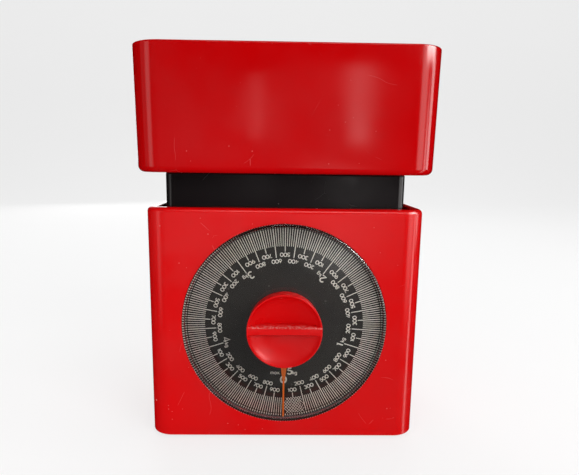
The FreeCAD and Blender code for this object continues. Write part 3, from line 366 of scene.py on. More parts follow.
PALE_DUST = (0.72, 0.45, 0.42, 1)
FINISHES = {
    "red_gloss": moulded_plastic("housing_red", (0.56, 0.0, 0.0008, 1), (0.50, 0.0, 0.0006, 1),
                                 PALE_DUST, 0.20),
    "bowl_red": moulded_plastic("bowl_red", (0.42, 0.0, 0.0008, 1), (0.37, 0.0, 0.0006, 1),
                                PALE_DUST, 0.12, wave_height=0.0005),
    "black_plastic": moulded_plastic("platform_black", (0.0075, 0.0055, 0.0060, 1), (0.0050, 0.0040, 0.0042, 1),
                                     (0.25, 0.22, 0.20, 1), 0.22, dust_share=0.05),
    "knob_red": moulded_plastic("knob_red", (0.55, 0.0, 0.0008, 1), (0.48, 0.0, 0.0006, 1),
                                PALE_DUST, 0.34, wave_height=0.0001, gloss=0.15, ledge=HUB.z + 2.2 * MM),
    "clear_lens": clear_window("window_clear"),
    "dial_print": flat_black_plate("dial_ground"),
    "pointer_orange": moulded_plastic("pointer_orange", (1.0, 0.22, 0.008, 1), (1.0, 0.19, 0.006, 1),
                                      (0.9, 0.5, 0.3, 1), 0.5, wave_height=0.0, dust_share=0.02),
    "zinc_steel": sheet_metal("zinc_sheet", (0.62, 0.62, 0.58, 1), (0.42, 0.42, 0.38, 1), 0.28, (1, 1, 0.06)),
    "spring_steel": sheet_metal("spring_wire", (0.40, 0.40, 0.41, 1), (0.24, 0.24, 0.25, 1), 0.26, (0.1, 1, 1)),
    "brass": sheet_metal("turned_brass", (0.78, 0.55, 0.22, 1), (0.55, 0.36, 0.13, 1), 0.24, (1, 0.08, 1)),
    "screw_steel": sheet_metal("plated_steel", (0.70, 0.70, 0.69, 1), (0.50, 0.50, 0.49, 1), 0.20, (1, 1, 0.1)),
    "grey_plastic": moulded_plastic("cover_grey", (0.060, 0.060, 0.062, 1), (0.045, 0.045, 0.046, 1),
                                    (0.35, 0.33, 0.30, 1), 0.42),
    "foot_rubber": foot_rubber("foot_rubber"),
}
INK = printed_ink("dial_ink", (0.98, 0.96, 0.90, 1), (0.88, 0.85, 0.77, 1))


def finish_cad_nodes():
    """Gives every node that keeps its own mesh the finish of its slot."""
    slots = {entry["node"]: entry["material_slot"] for entry in frame["record"]["subparts"]}
    for name, node in frame["nodes"].items():
        for slot in node.material_slots:
            slot.material = FINISHES[slots[name]]


finish_cad_nodes()


# ---------------------------------------------------------------- mesh making

def settle(name, work, body, slot=None, finish=None, sharp=35.0):
    """Turns a bmesh into a piece that rides on a body, smooth except at its sharp edges."""
    bmesh.ops.recalc_face_normals(work, faces=work.faces)
    mesh = bpy.data.meshes.new(name)
    work.to_mesh(mesh)
    work.free()
    mesh.shade_smooth()
    mesh.set_sharp_from_angle(angle=math.radians(sharp))
    piece = bpy.data.objects.new(name, mesh)
    bpy.context.scene.collection.objects.link(piece)
    mesh.materials.append(finish or FINISHES[slot])
    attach(piece, body)
    return piece


def apply_modifiers(piece):
    """Replaces a piece's mesh with the result of its modifiers."""
    depsgraph = bpy.context.evaluated_depsgraph_get()
    baked = bpy.data.meshes.new_from_object(piece.evaluated_get(depsgraph), depsgraph=depsgraph)
    piece.modifiers.clear()
    piece.data = baked


def rounded_rectangle(width, depth, radius, steps=12):
    """Points round a rectangle with round corners, centred on the origin."""
    points = []
    for turn, (sx, sy) in enumerate(((1, -1), (1, 1), (-1, 1), (-1, -1))):
        centre = Vector((sx * (width / 2 - radius), sy * (depth / 2 - radius)))
        for step in range(steps + 1):
            angle = (turn - 1 + step / steps) * math.pi / 2
            points.append(centre + radius * Vector((math.cos(angle), math.sin(angle))))
    return points


def add_loop(work, points, z, centre):
    """Vertices for an outline at one height."""
    return [work.verts.new((centre.x + p.x, centre.y + p.y, z)) for p in points]


def bridge(work, lower, upper):
    """Faces between two loops with the same number of vertices."""
    count = len(lower)
    for i in range(count):
        j = (i + 1) % count
        work.faces.new((lower[i], lower[j], upper[j], upper[i]))


def quarter_steps(count=6):
    """Angles through a quarter turn, ends included."""
    return [math.pi / 2 * step / count for step in range(count + 1)]


def moulded_shell(rows, centre, close_first=True, close_last=True, steps=12):
    """A skin through rounded rectangles, each row being (width, depth, corner radius, height)."""
    work = bmesh.new()
    loops = [add_loop(work, rounded_rectangle(w, d, max(r, 0.0002), steps), z, centre) for w, d, r, z in rows]
    for lower, upper in zip(loops, loops[1:]):
        bridge(work, lower, upper)
    if close_first:
        work.faces.new(loops[0])
    if close_last:
        work.faces.new(loops[-1])
    return work


def turned_surface(profile, centre, count=160, closed=True):
    """A skin turned about the Y axis through `centre`, from points of (radius, distance along Y)."""
    work = bmesh.new()
    rings = []
    for radius, along in profile:
        if radius < 1e-6:
            rings.append([work.verts.new((centre.x, centre.y + along, centre.z))])
        else:
            rings.append([work.verts.new((centre.x + radius * math.cos(a), centre.y + along,
                                          centre.z + radius * math.sin(a)))
                          for a in (math.tau * k / count for k in range(count))])
    pairs = list(zip(rings, rings[1:]))
    if closed:
        pairs.append((rings[-1], rings[0]))
    for one, other in pairs:
        for k in range(count):
            n = (k + 1) % count
            if len(one) == 1 and len(other) == 1:
                continue
            if len(one) == 1:
                work.faces.new((one[0], other[n], other[k]))
            elif len(other) == 1:
                work.faces.new((one[k], one[n], other[0]))
            else:
                work.faces.new((one[k], one[n], other[n], other[k]))
    return work


def arc_profile(centre_radius, centre_along, radius, start, end, steps=6):
    """Points of a rounding in a turned outline, angles in degrees from the outward direction."""
    return [(centre_radius + radius * math.cos(math.radians(start + (end - start) * k / steps)),
             centre_along + radius * math.sin(math.radians(start + (end - start) * k / steps)))
            for k in range(steps + 1)]


# ---------------------------------------------------------------- bowl

def make_bowl():
    """The loose bowl: leaning walls, a round foot edge, a round rim and a locating ring underneath."""
    wall, draft, foot_round, rim_round = 2.2 * MM, 1.0 * MM, 3.5 * MM, 1.0 * MM
    corner, ring_height = 17 * MM, 1.0 * MM
    width, depth = BOWL.size.x, BOWL.size.y
    top, bottom = BOWL.high.z, BOWL.low.z + ring_height
    height = top - bottom
    centre = BOWL.middle

    def row(inset, z):
        return (width - 2 * inset, depth - 2 * inset, corner - inset, z)

    def lean(z):
        return draft * (1 - (z - bottom) / height)

    rows = []
    for angle in quarter_steps(8):
        z = bottom + foot_round * (1 - math.cos(angle))
        rows.append(row(lean(bottom) + foot_round * (1 - math.sin(angle)), z))
    for share in (0.25, 0.5, 0.75):
        z = bottom + foot_round + share * (height - foot_round - rim_round)
        rows.append(row(lean(z), z))
    for angle in quarter_steps(5):
        rows.append(row(rim_round * (1 - math.cos(angle)), top - rim_round * (1 - math.sin(angle))))
    for angle in quarter_steps(5):
        rows.append(row(wall - rim_round * (1 - math.sin(angle)), top - rim_round * (1 - math.cos(angle))))
    inner_round = foot_round - wall / 2
    floor = bottom + wall
    for share in (0.25, 0.5, 0.75):
        z = top - rim_round - share * (height - wall - inner_round - rim_round)
        rows.append(row(wall + lean(z), z))
    for angle in quarter_steps(6):
        rows.append(row(wall + lean(floor) + inner_round * (1 - math.cos(angle)),
                        floor + inner_round * (1 - math.sin(angle))))
    work = moulded_shell(rows, centre)
    bowl = settle("weighing_bowl", work, "bowl", "bowl_red")
    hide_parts("bowl")
    seat_play, seat_width, seat_depth, ring_wall, seat_corner = 0.5 * MM, 112 * MM, 64 * MM, 2 * MM, 6 * MM
    ring = bmesh.new()
    loops = []
    for inset, z in ((0, bottom), (0, BOWL.low.z), (ring_wall, BOWL.low.z), (ring_wall, bottom)):
        outline = rounded_rectangle(seat_width - 2 * (seat_play + inset), seat_depth - 2 * (seat_play + inset),
                                    seat_corner - seat_play - inset, 8)
        loops.append(add_loop(ring, outline, z, centre))
    for lower, upper in zip(loops, loops[1:] + loops[:1]):
        bridge(ring, lower, upper)
    settle("bowl_locating_ring", ring, "bowl", "bowl_red")


# ---------------------------------------------------------------- housing

def make_housing():
    """The one-piece housing: round upright corners, a rounded top edge, an inward flange and the window."""
    wall, flange, corner, top_round = 2.5 * MM, 6.5 * MM, 13 * MM, 3 * MM
    low_round, mouth_corner = 0.4 * MM, 1 * MM
    width, depth = SHELL.size.x, SHELL.size.y
    bottom, top = SHELL.low.z, SHELL.high.z

    def row(inset, z, radius=None):
        return (width - 2 * inset, depth - 2 * inset, corner - inset if radius is None else radius, z)

    rows = [row(low_round, bottom), row(low_round * 0.3, bottom + low_round * 0.3), row(0, bottom + low_round)]
    for angle in quarter_steps(8):
        rows.append(row(top_round * (1 - math.cos(angle)), top - top_round * (1 - math.sin(angle))))
    lip = 0.3 * MM
    rows.append(row(flange - lip, top, mouth_corner + lip))
    rows.append(row(flange - lip * 0.3, top - lip * 0.3, mouth_corner + lip * 0.3))
    rows.append(row(flange, top - lip, mouth_corner))
    rows.append(row(flange, top - wall, mouth_corner))
    rows.append(row(wall, top - wall))
    rows.append(row(wall, bottom))
    work = moulded_shell(rows, SHELL.middle, close_first=False, close_last=False, steps=16)
    work.verts.ensure_lookup_table()
    loop_size = len(rounded_rectangle(1, 1, 0.1, 16))
    bridge(work, list(work.verts)[-loop_size:], list(work.verts)[:loop_size])
    housing = settle("housing_shell", work, "base", "red_gloss", sharp=40.0)
    hole_radius = LENS.size.x / 2 - 2.65 * MM + 0.1 * MM
    rebate_radius, lip_thickness = LENS.size.x / 2 + 0.3 * MM, 1.2 * MM
    edge = 0.25 * MM
    tool = turned_surface([
        (0, -5 * MM), (hole_radius + 3 * MM, -5 * MM), (hole_radius + 3 * MM, -1 * MM),
        (hole_radius + edge + 1 * MM, -1 * MM), (hole_radius + edge, 0), (hole_radius, edge),
        (hole_radius, lip_thickness), (rebate_radius, lip_thickness), (rebate_radius, wall + 1 * MM),
        (0, wall + 1 * MM)], HUB, 256, closed=False)
    cutter = settle("window_cutter", tool, "base", "red_gloss")
    opening = housing.modifiers.new("window", "BOOLEAN")
    opening.object = cutter
    opening.operation = "DIFFERENCE"
    opening.solver = "EXACT"
    flat = housing.modifiers.new("flat_faces", "WEIGHTED_NORMAL")
    flat.keep_sharp = True
    apply_modifiers(housing)
    bpy.data.objects.remove(cutter)
    housing.data.set_sharp_from_angle(angle=math.radians(40))
    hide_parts("base_shell")
    add_bosses()


def add_bosses():
    """The four screw bosses inside the housing's corners."""
    inset, radius, height, bore = 8.5 * MM, 5 * MM, 24 * MM, 1.55 * MM
    cover = Box("bottom_cover")
    work = bmesh.new()
    for sx in (-1, 1):
        for sy in (-1, 1):
            x = sx * (SHELL.size.x / 2 - inset)
            y = SHELL.middle.y + sy * (SHELL.size.y / 2 - inset)
            rings = []
            for r, z in ((bore, cover.high.z + height / 2), (bore, cover.high.z), (radius, cover.high.z),
                         (radius, cover.high.z + height)):
                rings.append([work.verts.new((x + r * math.cos(a), y + r * math.sin(a), z))
                              for a in (math.tau * k / 32 for k in range(32))])
            for lower, upper in zip(rings, rings[1:]):
                bridge(work, lower, upper)
            work.faces.new(rings[0])
            work.faces.new(rings[-1])
    settle("housing_bosses", work, "base", "red_gloss")


# ---------------------------------------------------------------- platform

def make_platform():
    """The black load platform: an upside-down tub with a shallow seat for the bowl's ring."""
    wall, edge_round, corner, recess = 2.5 * MM, 1.2 * MM, 5 * MM, 1.2 * MM
    seat = (112 * MM, 64 * MM, 6 * MM)
    top, bottom = PLATFORM.high.z, PLATFORM.low.z
    width, depth = PLATFORM.size.x, PLATFORM.size.y

    def row(inset, z):
        return (width - 2 * inset, depth - 2 * inset, corner - inset, z)

    rows = [row(wall, top - wall - recess), row(wall, bottom), row(0, bottom)]
    for angle in quarter_steps(5):
        rows.append(row(edge_round * (1 - math.cos(angle)), top - edge_round * (1 - math.sin(angle))))
    soft = 0.25 * MM
    rows.append((seat[0] + 2 * soft, seat[1] + 2 * soft, seat[2] + soft, top))
    rows.append((*seat, top - soft))
    rows.append((*seat, top - recess))
    platform = settle("load_platform", moulded_shell(rows, PLATFORM.middle), "platform", "black_plastic")
    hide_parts("platform_cover")


make_bowl()
make_housing()
make_platform()


# ---------------------------------------------------------------- window, knob and pointer

def make_window():
    """The clear window: a flat front with a rounded edge, a skirt and the flange that holds it."""
    proud, thick, skirt, flange = 1.4 * MM, 1.6 * MM, 1.3 * MM, 2.65 * MM
    edge_round, flange_front = 1.1 * MM, 1.3 * MM
    outer = LENS.size.x / 2 - flange
    back = thick - proud
    flange_back = LENS.high.y - FACE_Y
    bore = 4.05 * MM
    profile = [(bore, -proud)]
    profile += arc_profile(outer - edge_round, edge_round - proud, edge_round, -90, 0, 8)
    profile += [(outer, flange_front), (outer + flange, flange_front), (outer + flange, flange_back),
                (outer - skirt, flange_back)]
    profile += [(outer - skirt, back + 0.5 * MM), (outer - skirt - 0.5 * MM, back), (bore, back)]
    window = settle("dial_window", turned_surface(profile, HUB, 256), "tare", "clear_lens", sharp=50.0)
    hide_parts("lens")


def make_knob():
    """The grip knob: a slightly tapered cup with a thin rim and two scoops either side of a ridge."""
    back_radius, front_radius = KNOB.size.x / 2 - 0.7 * MM, 21.5 * MM
    rim, rim_round = 0.8 * MM, 0.45 * MM
    front = KNOB.low.y
    back = front + 10.3 * MM
    inner = front_radius - rim
    depth, ridge_half, foot_half, edge = 8.2 * MM, 2.0 * MM, 3.0 * MM, 0.35 * MM
    columns, scoop_steps, hollowness = 96, 22, 0.72
    work = bmesh.new()

    def scoop(x, v):
        reach = min(1.0, (x * x + v * v) / (inner * inner))
        return depth * (1 - reach) ** hollowness

    start = math.asin(foot_half * 0.72 / inner)  # a little past where the ridge's foot meets the rim
    grid = []
    for i in range(columns + 1):
        angle = start + (math.pi - 2 * start) * i / columns
        x = inner * math.cos(angle)
        chord = inner * math.sin(angle)
        room = max(0.0, chord - foot_half)
        foot = min(foot_half, chord)
        top = min(ridge_half, chord)
        half = []
        for step in range(scoop_steps + 1):
            share = math.sin(math.pi / 2 * step / scoop_steps)
            v = chord - room * share
            half.append((v, scoop(x, v)))
        deep = half[-1][1]
        for share, v in ((0.55, foot - (foot - top) * 0.30), (0.12, top + (foot - top) * 0.22),
                         (0.0, top - edge)):
            half.append((v, deep * share))
        row = [(x, v, d) for v, d in half] + [(x, -v, d) for v, d in reversed(half)]
        grid.append([work.verts.new((HUB.x + px, front + d, HUB.z + pv)) for px, pv, d in row])
    for one, other in zip(grid, grid[1:]):
        for a in range(len(one) - 1):
            work.faces.new((one[a], one[a + 1], other[a + 1], other[a]))
    border = [row[0] for row in grid] + grid[-1][1:] + [row[-1] for row in reversed(grid[:-1])]
    border += list(reversed(grid[0][1:-1]))
    angles = [math.atan2(v.co.z - HUB.z, v.co.x - HUB.x) for v in border]
    profile = [(inner + (rim - rim_round) * 0.3, front)]
    profile += [(front_radius - rim_round + rim_round * math.sin(a), front + rim_round * (1 - math.cos(a)))
                for a in quarter_steps(5)]
    profile += [(front_radius + (back_radius - front_radius) * 0.5, (front + back) / 2), (back_radius, back)]
    last = border
    for radius, y in profile:
        ring = [work.verts.new((HUB.x + radius * math.cos(a), y, HUB.z + radius * math.sin(a))) for a in angles]
        bridge(work, last, ring)
        last = ring
    work.faces.new(last)
    bmesh.ops.remove_doubles(work, verts=work.verts, dist=0.00002)
    knob = settle("grip_knob", work, "tare", "knob_red", sharp=45.0)
    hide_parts("knob")


def make_pointer():
    """The needle: a boss under the knob, a wedge where it comes out, and a fine blade."""
    front, back = POINTER.low.y + 0.15 * MM, POINTER.high.y
    tip = POINTER.low.z - HUB.z
    wedge_half, neck_half, blade_half, boss = 1.9 * MM, 0.55 * MM, 0.5 * MM, 9 * MM
    wedge_end, neck, bevel = -24.5 * MM, -35 * MM, 0.3 * MM
    side = [(wedge_half, -boss * 0.97), (wedge_half, wedge_end), (neck_half, neck), (blade_half, tip + bevel),
            (blade_half * 0.4, tip)]
    outline = [(-x, z) for x, z in side] + side[::-1]
    for k in range(1, 40):
        angle = math.radians(-78 + k * (336 / 40))
        outline.append((boss * math.cos(angle), boss * math.sin(angle)))
    work = bmesh.new()
    loops = [[work.verts.new((HUB.x + x, y, HUB.z + z)) for x, z in outline] for y in (front, back)]
    work.faces.new(loops[0])
    work.faces.new(loops[1])
    bridge(work, *loops)
    needle = settle("dial_pointer", work, "tare", "pointer_orange")
    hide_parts("pointer")


make_window()
make_knob()
make_pointer()


# ---------------------------------------------------------------- printing on the dial

PRINT_THICKNESS = 0.04 * MM
FULL_LOAD, STEP = 5000, 20            # grams in one turn, and from tick to tick
TICK_OUT, TICK_IN = 57.5 * MM, 47.0 * MM
LONG_TICKS = ((1000, 38.0 * MM), (200, 40.4 * MM), (100, 43.9 * MM))  # every so many grams, inner end
EDGE_MARK = (58.1 * MM, 59.3 * MM)
CHECK_ZONE = 200                      # grams from zero that the lattice covers


def ribbon(work, points, width, closed=False):
    """A thin flat strip along points (x, z) on the dial's face, from its middle line."""
    count = len(points)
    sections = []
    for i, point in enumerate(points):
        before = points[i - 1] if i > 0 or closed else points[i]
        after = points[(i + 1) % count] if i < count - 1 or closed else points[i]
        ahead = (Vector(after) - Vector(before)).normalized()
        side = Vector((-ahead.y, ahead.x)) * width / 2
        face, back = DIAL.low.y - PRINT_THICKNESS, DIAL.low.y + PRINT_THICKNESS
        corners = []
        for offset, y in ((side, face), (-side, face), (-side, back), (side, back)):
            corners.append(work.verts.new((HUB.x + point[0] + offset.x, y, HUB.z + point[1] + offset.y)))
        sections.append(corners)
    pairs = list(zip(sections, sections[1:]))
    if closed:
        pairs.append((sections[-1], sections[0]))
    for one, other in pairs:
        bridge(work, one, other)
    if not closed:
        work.faces.new(sections[0])
        work.faces.new(sections[-1])


def on_dial(radius, degrees):
    """A place on the dial's face: degrees run counter-clockwise from the bottom."""
    angle = math.radians(degrees)
    return (radius * math.sin(angle), -radius * math.cos(angle))


def make_graduation():
    """250 ticks round the rim, longer ones at each 100 g, and the short marks at the very edge."""
    work = bmesh.new()
    edge_marks = bmesh.new()
    turn = 360.0 / FULL_LOAD
    for grams in range(0, FULL_LOAD, STEP):
        degrees = grams * turn
        longer = [end for every, end in LONG_TICKS if grams and grams % every == 0]
        inner = longer[0] if longer else TICK_IN
        width = 0.50 * MM if grams % 100 == 0 else 0.38 * MM
        if 0 < grams < CHECK_ZONE:
            if grams % 100 == 0:
                ribbon(work, [on_dial(inner, degrees), on_dial(TICK_IN, degrees)], width)
        else:
            ribbon(work, [on_dial(inner, degrees), on_dial(TICK_OUT, degrees)], width)
        ribbon(edge_marks, [on_dial(radius, degrees) for radius in EDGE_MARK], 0.5 * MM)
    settle("dial_graduation", work, "dial", finish=INK)
    settle("dial_edge_marks", edge_marks, "dial", finish=INK)
    make_check_zone(turn)


def make_check_zone(turn):
    """The lattice from zero to 200 g: lines that lean both ways, cut off at the zone's ends."""
    zone = bmesh.new()
    slant, pitch, line = 0.8, 1.3 * STEP * turn, 0.28 * MM
    lean = math.degrees((TICK_OUT - TICK_IN) / ((TICK_OUT + TICK_IN) / 2)) * slant
    first, last = 0.3, CHECK_ZONE * turn - 0.2
    for sign in (-1, 1):
        for k in range(-12, 26):
            ends = []
            for share in (0.0, 0.25, 0.5, 0.75, 1.0):
                degrees = k * pitch + sign * lean * share
                if first <= degrees <= last:
                    ends.append(on_dial(TICK_IN + (TICK_OUT - TICK_IN) * share, degrees))
            if len(ends) > 1:
                ribbon(zone, ends, line)
    settle("dial_check_zone", zone, "dial", finish=INK)


def curve(cx, cy, rx, ry, start, end):
    """Points along part of an ellipse, in degrees."""
    steps = max(4, int(abs(end - start) / 15))
    return [(cx + rx * math.cos(math.radians(start + (end - start) * k / steps)),
             cy + ry * math.sin(math.radians(start + (end - start) * k / steps))) for k in range(steps + 1)]


# strokes of each figure in a box one unit high, and how far along the next figure starts
GLYPHS = {
    "0": ([curve(0.42, 0.5, 0.36, 0.44, 0, 360)], 0.86),
    "1": ([[(0.16, 0.78), (0.36, 0.93), (0.36, 0.04)]], 0.58),
    "2": ([curve(0.38, 0.68, 0.27, 0.26, 165, -38) + [(0.10, 0.07), (0.70, 0.07)]], 0.80),
    "3": ([curve(0.35, 0.71, 0.24, 0.23, 150, -80), curve(0.35, 0.28, 0.29, 0.23, 85, -155)], 0.76),
    "4": ([[(0.56, 0.04), (0.56, 0.93), (0.08, 0.28), (0.74, 0.28)]], 0.82),
    "5": ([[(0.64, 0.92), (0.24, 0.92), (0.17, 0.54)] + curve(0.38, 0.32, 0.30, 0.27, 118, -150)], 0.78),
    "6": ([curve(0.40, 0.32, 0.30, 0.27, 0, 360), [(0.13, 0.42), (0.28, 0.66), (0.52, 0.93)]], 0.80),
    "7": ([[(0.10, 0.92), (0.68, 0.92), (0.28, 0.04)]], 0.74),
    "8": ([curve(0.40, 0.71, 0.24, 0.22, 0, 360), curve(0.40, 0.27, 0.30, 0.23, 0, 360)], 0.80),
    "9": ([curve(0.40, 0.67, 0.30, 0.27, 0, 360), [(0.67, 0.57), (0.52, 0.33), (0.28, 0.06)]], 0.80),
    "m": ([[(0.08, 0.04), (0.08, 0.60)], curve(0.25, 0.40, 0.17, 0.18, 180, 0) + [(0.42, 0.04)],
           curve(0.59, 0.40, 0.17, 0.18, 180, 0) + [(0.76, 0.04)]], 0.92),
    "a": ([curve(0.32, 0.31, 0.25, 0.26, 0, 360), [(0.58, 0.60), (0.58, 0.04)]], 0.72),
    "x": ([[(0.06, 0.60), (0.48, 0.04)], [(0.48, 0.60), (0.06, 0.04)]], 0.58),
    "k": ([[(0.10, 0.04), (0.10, 0.94)], [(0.12, 0.26), (0.46, 0.60)], [(0.22, 0.36), (0.50, 0.04)]], 0.58),
    "g": ([curve(0.32, 0.31, 0.25, 0.26, 0, 360),
           [(0.58, 0.60), (0.58, -0.06)] + curve(0.34, -0.06, 0.24, 0.18, 0, -150)], 0.70),
    ".": ([[(0.06, 0.02), (0.06, 0.12)]], 0.20),
}


def write(work, text, height, stroke, radius, degrees, shift=0.0):
    """Figures upright when they are at the bottom of the dial, centred at a radius and an angle."""
    angle = math.radians(degrees)
    along, up = Vector((math.cos(angle), math.sin(angle))), Vector((-math.sin(angle), math.cos(angle)))
    middle = Vector(on_dial(radius, degrees))
    pen = -sum(GLYPHS[letter][1] for letter in text) / 2
    for letter in text:
        strokes, step = GLYPHS[letter]
        for stroke_points in strokes:
            spots = [middle + along * ((pen + x) * height + shift) + up * (y - 0.5) * height
                     for x, y in stroke_points]
            closed = (Vector(stroke_points[0]) - Vector(stroke_points[-1])).length < 1e-6
            ribbon(work, [tuple(spot) for spot in (spots[:-1] if closed else spots)], stroke, closed)
        pen += step


def make_figures():
    """The hundreds in two rows, the kilograms, and the zero with the full load above it."""
    work = bmesh.new()
    turn = 360.0 / FULL_LOAD
    # text, height, stroke, radius, grams and sideways shift; lengths in millimetres
    marks = [("0", 4.6, 1.0, 35.0, 0, 0), ("max.", 2.5, 0.44, 30.3, 0, -5.0), ("5", 4.4, 0.85, 29.4, 0, 3.6),
             ("kg", 2.4, 0.44, 30.3, 0, 6.7)]
    for grams in range(100, FULL_LOAD, 100):
        kilograms, hundreds = divmod(grams, 1000)
        if hundreds:
            marks.append((str(hundreds), 2.4, 0.50, 42.0 if grams % 200 else 38.3, grams, 0))
        else:
            marks += [(str(kilograms), 4.4, 0.82, 35.6, grams, -1.5), ("kg", 2.4, 0.44, 36.3, grams, 1.9)]
    for text, height, stroke, radius, grams, shift in marks:
        write(work, text, height * MM, stroke * MM, radius * MM, grams * turn, shift * MM)
    settle("dial_figures", work, "dial", finish=INK)


make_graduation()
make_figures()


# ---------------------------------------------------------------- springs

def tube_along(work, points, radius, count=10):
    """A round wire along points."""
    rings = []
    for i, point in enumerate(points):
        ahead = (points[min(i + 1, len(points) - 1)] - points[max(i - 1, 0)]).normalized()
        side = ahead.cross(Vector((0, 0, 1)))
        side = side.normalized() if side.length > 0.1 else Vector((1, 0, 0))
        other = ahead.cross(side).normalized()
        rings.append([work.verts.new(point + radius * (side * math.cos(a) + other * math.sin(a)))
                      for a in (math.tau * k / count for k in range(count))])
    for one, two in zip(rings, rings[1:]):
        bridge(work, one, two)
    work.faces.new(rings[0])
    work.faces.new(rings[-1])


def make_springs():
    """Two extension springs: close coils with a loop at each end round its bar."""
    wire, coil, turns, play, hook = 0.7 * MM, 4.8 * MM, 24, 0.1 * MM, 3 * MM
    for node, name in (("main_spring_left", "spring_coil_left"), ("main_spring_right", "spring_coil_right")):
        place = Box(node)
        anchor, lower = Box("spring_anchor_bar"), Box("lower_spring_bar")
        x, y = place.middle.x, anchor.middle.y
        eye_top, eye_low = anchor.size.z / 2 + wire + play, lower.size.z / 2 + wire + play
        top, low = anchor.middle.z, lower.middle.z
        coil_top, coil_low = top - eye_top - hook, low + eye_low + hook
        points = []
        for k in range(0, 30):
            angle = math.radians(-80 + 340 * k / 32)
            points.append(Vector((x, y + eye_low * math.cos(angle), low + eye_low * math.sin(angle))))
        rise = coil_low - low - eye_low
        for k in range(1, 7):
            share = k / 6
            points.append(Vector((x + coil * share, y - eye_low * 0.2 * (1 - share),
                                  low + eye_low * 0.2 + (eye_low * 0.8 + rise) * share ** 0.7)))
        for k in range(1, turns * 24 + 1):
            angle = math.tau * k / 24
            height = coil_low + (coil_top - coil_low) * k / (turns * 24)
            points.append(Vector((x + coil * math.cos(angle), y + coil * math.sin(angle), height)))
        for k in range(1, 7):
            share = k / 6
            points.append(Vector((x + coil * (1 - share), y - eye_top * 0.2 * share,
                                  coil_top + (top - eye_top * 0.2 - coil_top) * share ** 1.4)))
        for k in range(1, 30):
            angle = math.radians(100 + 340 * k / 32)
            points.append(Vector((x, y + eye_top * math.cos(angle), top + eye_top * math.sin(angle))))
        work = bmesh.new()
        tube_along(work, points, wire)
        bmesh.ops.recalc_face_normals(work, faces=work.faces)
        mesh = bpy.data.meshes.new(name)
        work.to_mesh(mesh)
        work.free()
        mesh.shade_smooth()
        mesh.materials.append(FINISHES["spring_steel"])
        spring = bpy.data.objects.new(name, mesh)
        bpy.context.scene.collection.objects.link(spring)
        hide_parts(node)
        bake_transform(spring)


make_springs()


# ---------------------------------------------------------------- floor, light and camera

def staged(name, mesh, material):
    """A piece of the studio, which is no part of the object."""
    mesh.materials.append(material)
    prop = bpy.data.objects.new(name, mesh)
    bpy.context.scene.collection.objects.link(prop)
    return prop


def make_floor():
    """A plain pale floor that runs up into a plain pale backdrop, kept out of the reflections."""
    material, tree, shader, where = start_material("pale_floor", roughness=0.8)
    patches = noise(tree, where, 3.0, 3.0)
    tree.links.new(blend_colours(tree, patches, (0.21, 0.21, 0.21, 1), (0.22, 0.22, 0.22, 1)),
                   shader.inputs["Base Color"])
    shader.inputs["Specular IOR Level"].default_value = 0.0
    shader.inputs["Emission Color"].default_value = (1.0, 1.0, 1.0, 1)
    shader.inputs["Emission Strength"].default_value = 0.70
    half, front, back, bend, up = 6.0, -4.0, 1.6, 1.0, 4.0
    profile = [(front, 0.0), (back, 0.0)]
    profile += [(back + bend * math.sin(a), bend * (1 - math.cos(a))) for a in quarter_steps(12)[1:]]
    profile.append((back + bend, up))
    work = bmesh.new()
    rows = [[work.verts.new((x, y, z)) for x in (-half, half)] for y, z in profile]
    for one, other in zip(rows, rows[1:]):
        work.faces.new((one[0], one[1], other[1], other[0]))
    mesh = bpy.data.meshes.new("floor")
    work.to_mesh(mesh)
    work.free()
    mesh.shade_smooth()
    floor = staged("floor", mesh, material)
    floor.visible_glossy = floor.visible_transmission = False


def make_surround():
    """A pale wall far out all round, seen only by the camera, so that every view has a plain background."""
    material, _, shader, _ = start_material("pale_wall", roughness=0.9, base_color=(0, 0, 0, 1))
    shader.inputs["Specular IOR Level"].default_value = 0.0
    shader.inputs["Emission Color"].default_value = (1.0, 1.0, 1.0, 1)
    shader.inputs["Emission Strength"].default_value = 0.88
    reach, low, high, sides = 8.0, -0.1, 9.0, 48
    work = bmesh.new()
    angles = [math.tau * k / sides for k in range(sides)]
    bridge(work, *([work.verts.new((reach * math.cos(a), reach * math.sin(a), z)) for a in angles]
                   for z in (low, high)))
    mesh = bpy.data.meshes.new("surround")
    work.to_mesh(mesh)
    work.free()
    wall = staged("surround", mesh, material)
    wall.visible_diffuse = wall.visible_glossy = wall.visible_transmission = wall.visible_shadow = False


def facing(place, target):
    """The rotation that turns a lamp at a place to a target."""
    return (Vector(target) - Vector(place)).to_track_quat("-Z", "Y").to_euler()


def area_light(name, place, target, width, height, power, mirrored):
    """A rectangular lamp, which may be kept out of the reflections."""
    data = bpy.data.lights.new(name, "AREA")
    data.shape = "RECTANGLE"
    data.size, data.size_y = width, height
    data.energy = power
    lamp = bpy.data.objects.new(name, data)
    lamp.location = place
    lamp.rotation_euler = facing(place, target)
    lamp.visible_glossy = mirrored
    lamp.visible_transmission = False
    bpy.context.scene.collection.objects.link(lamp)


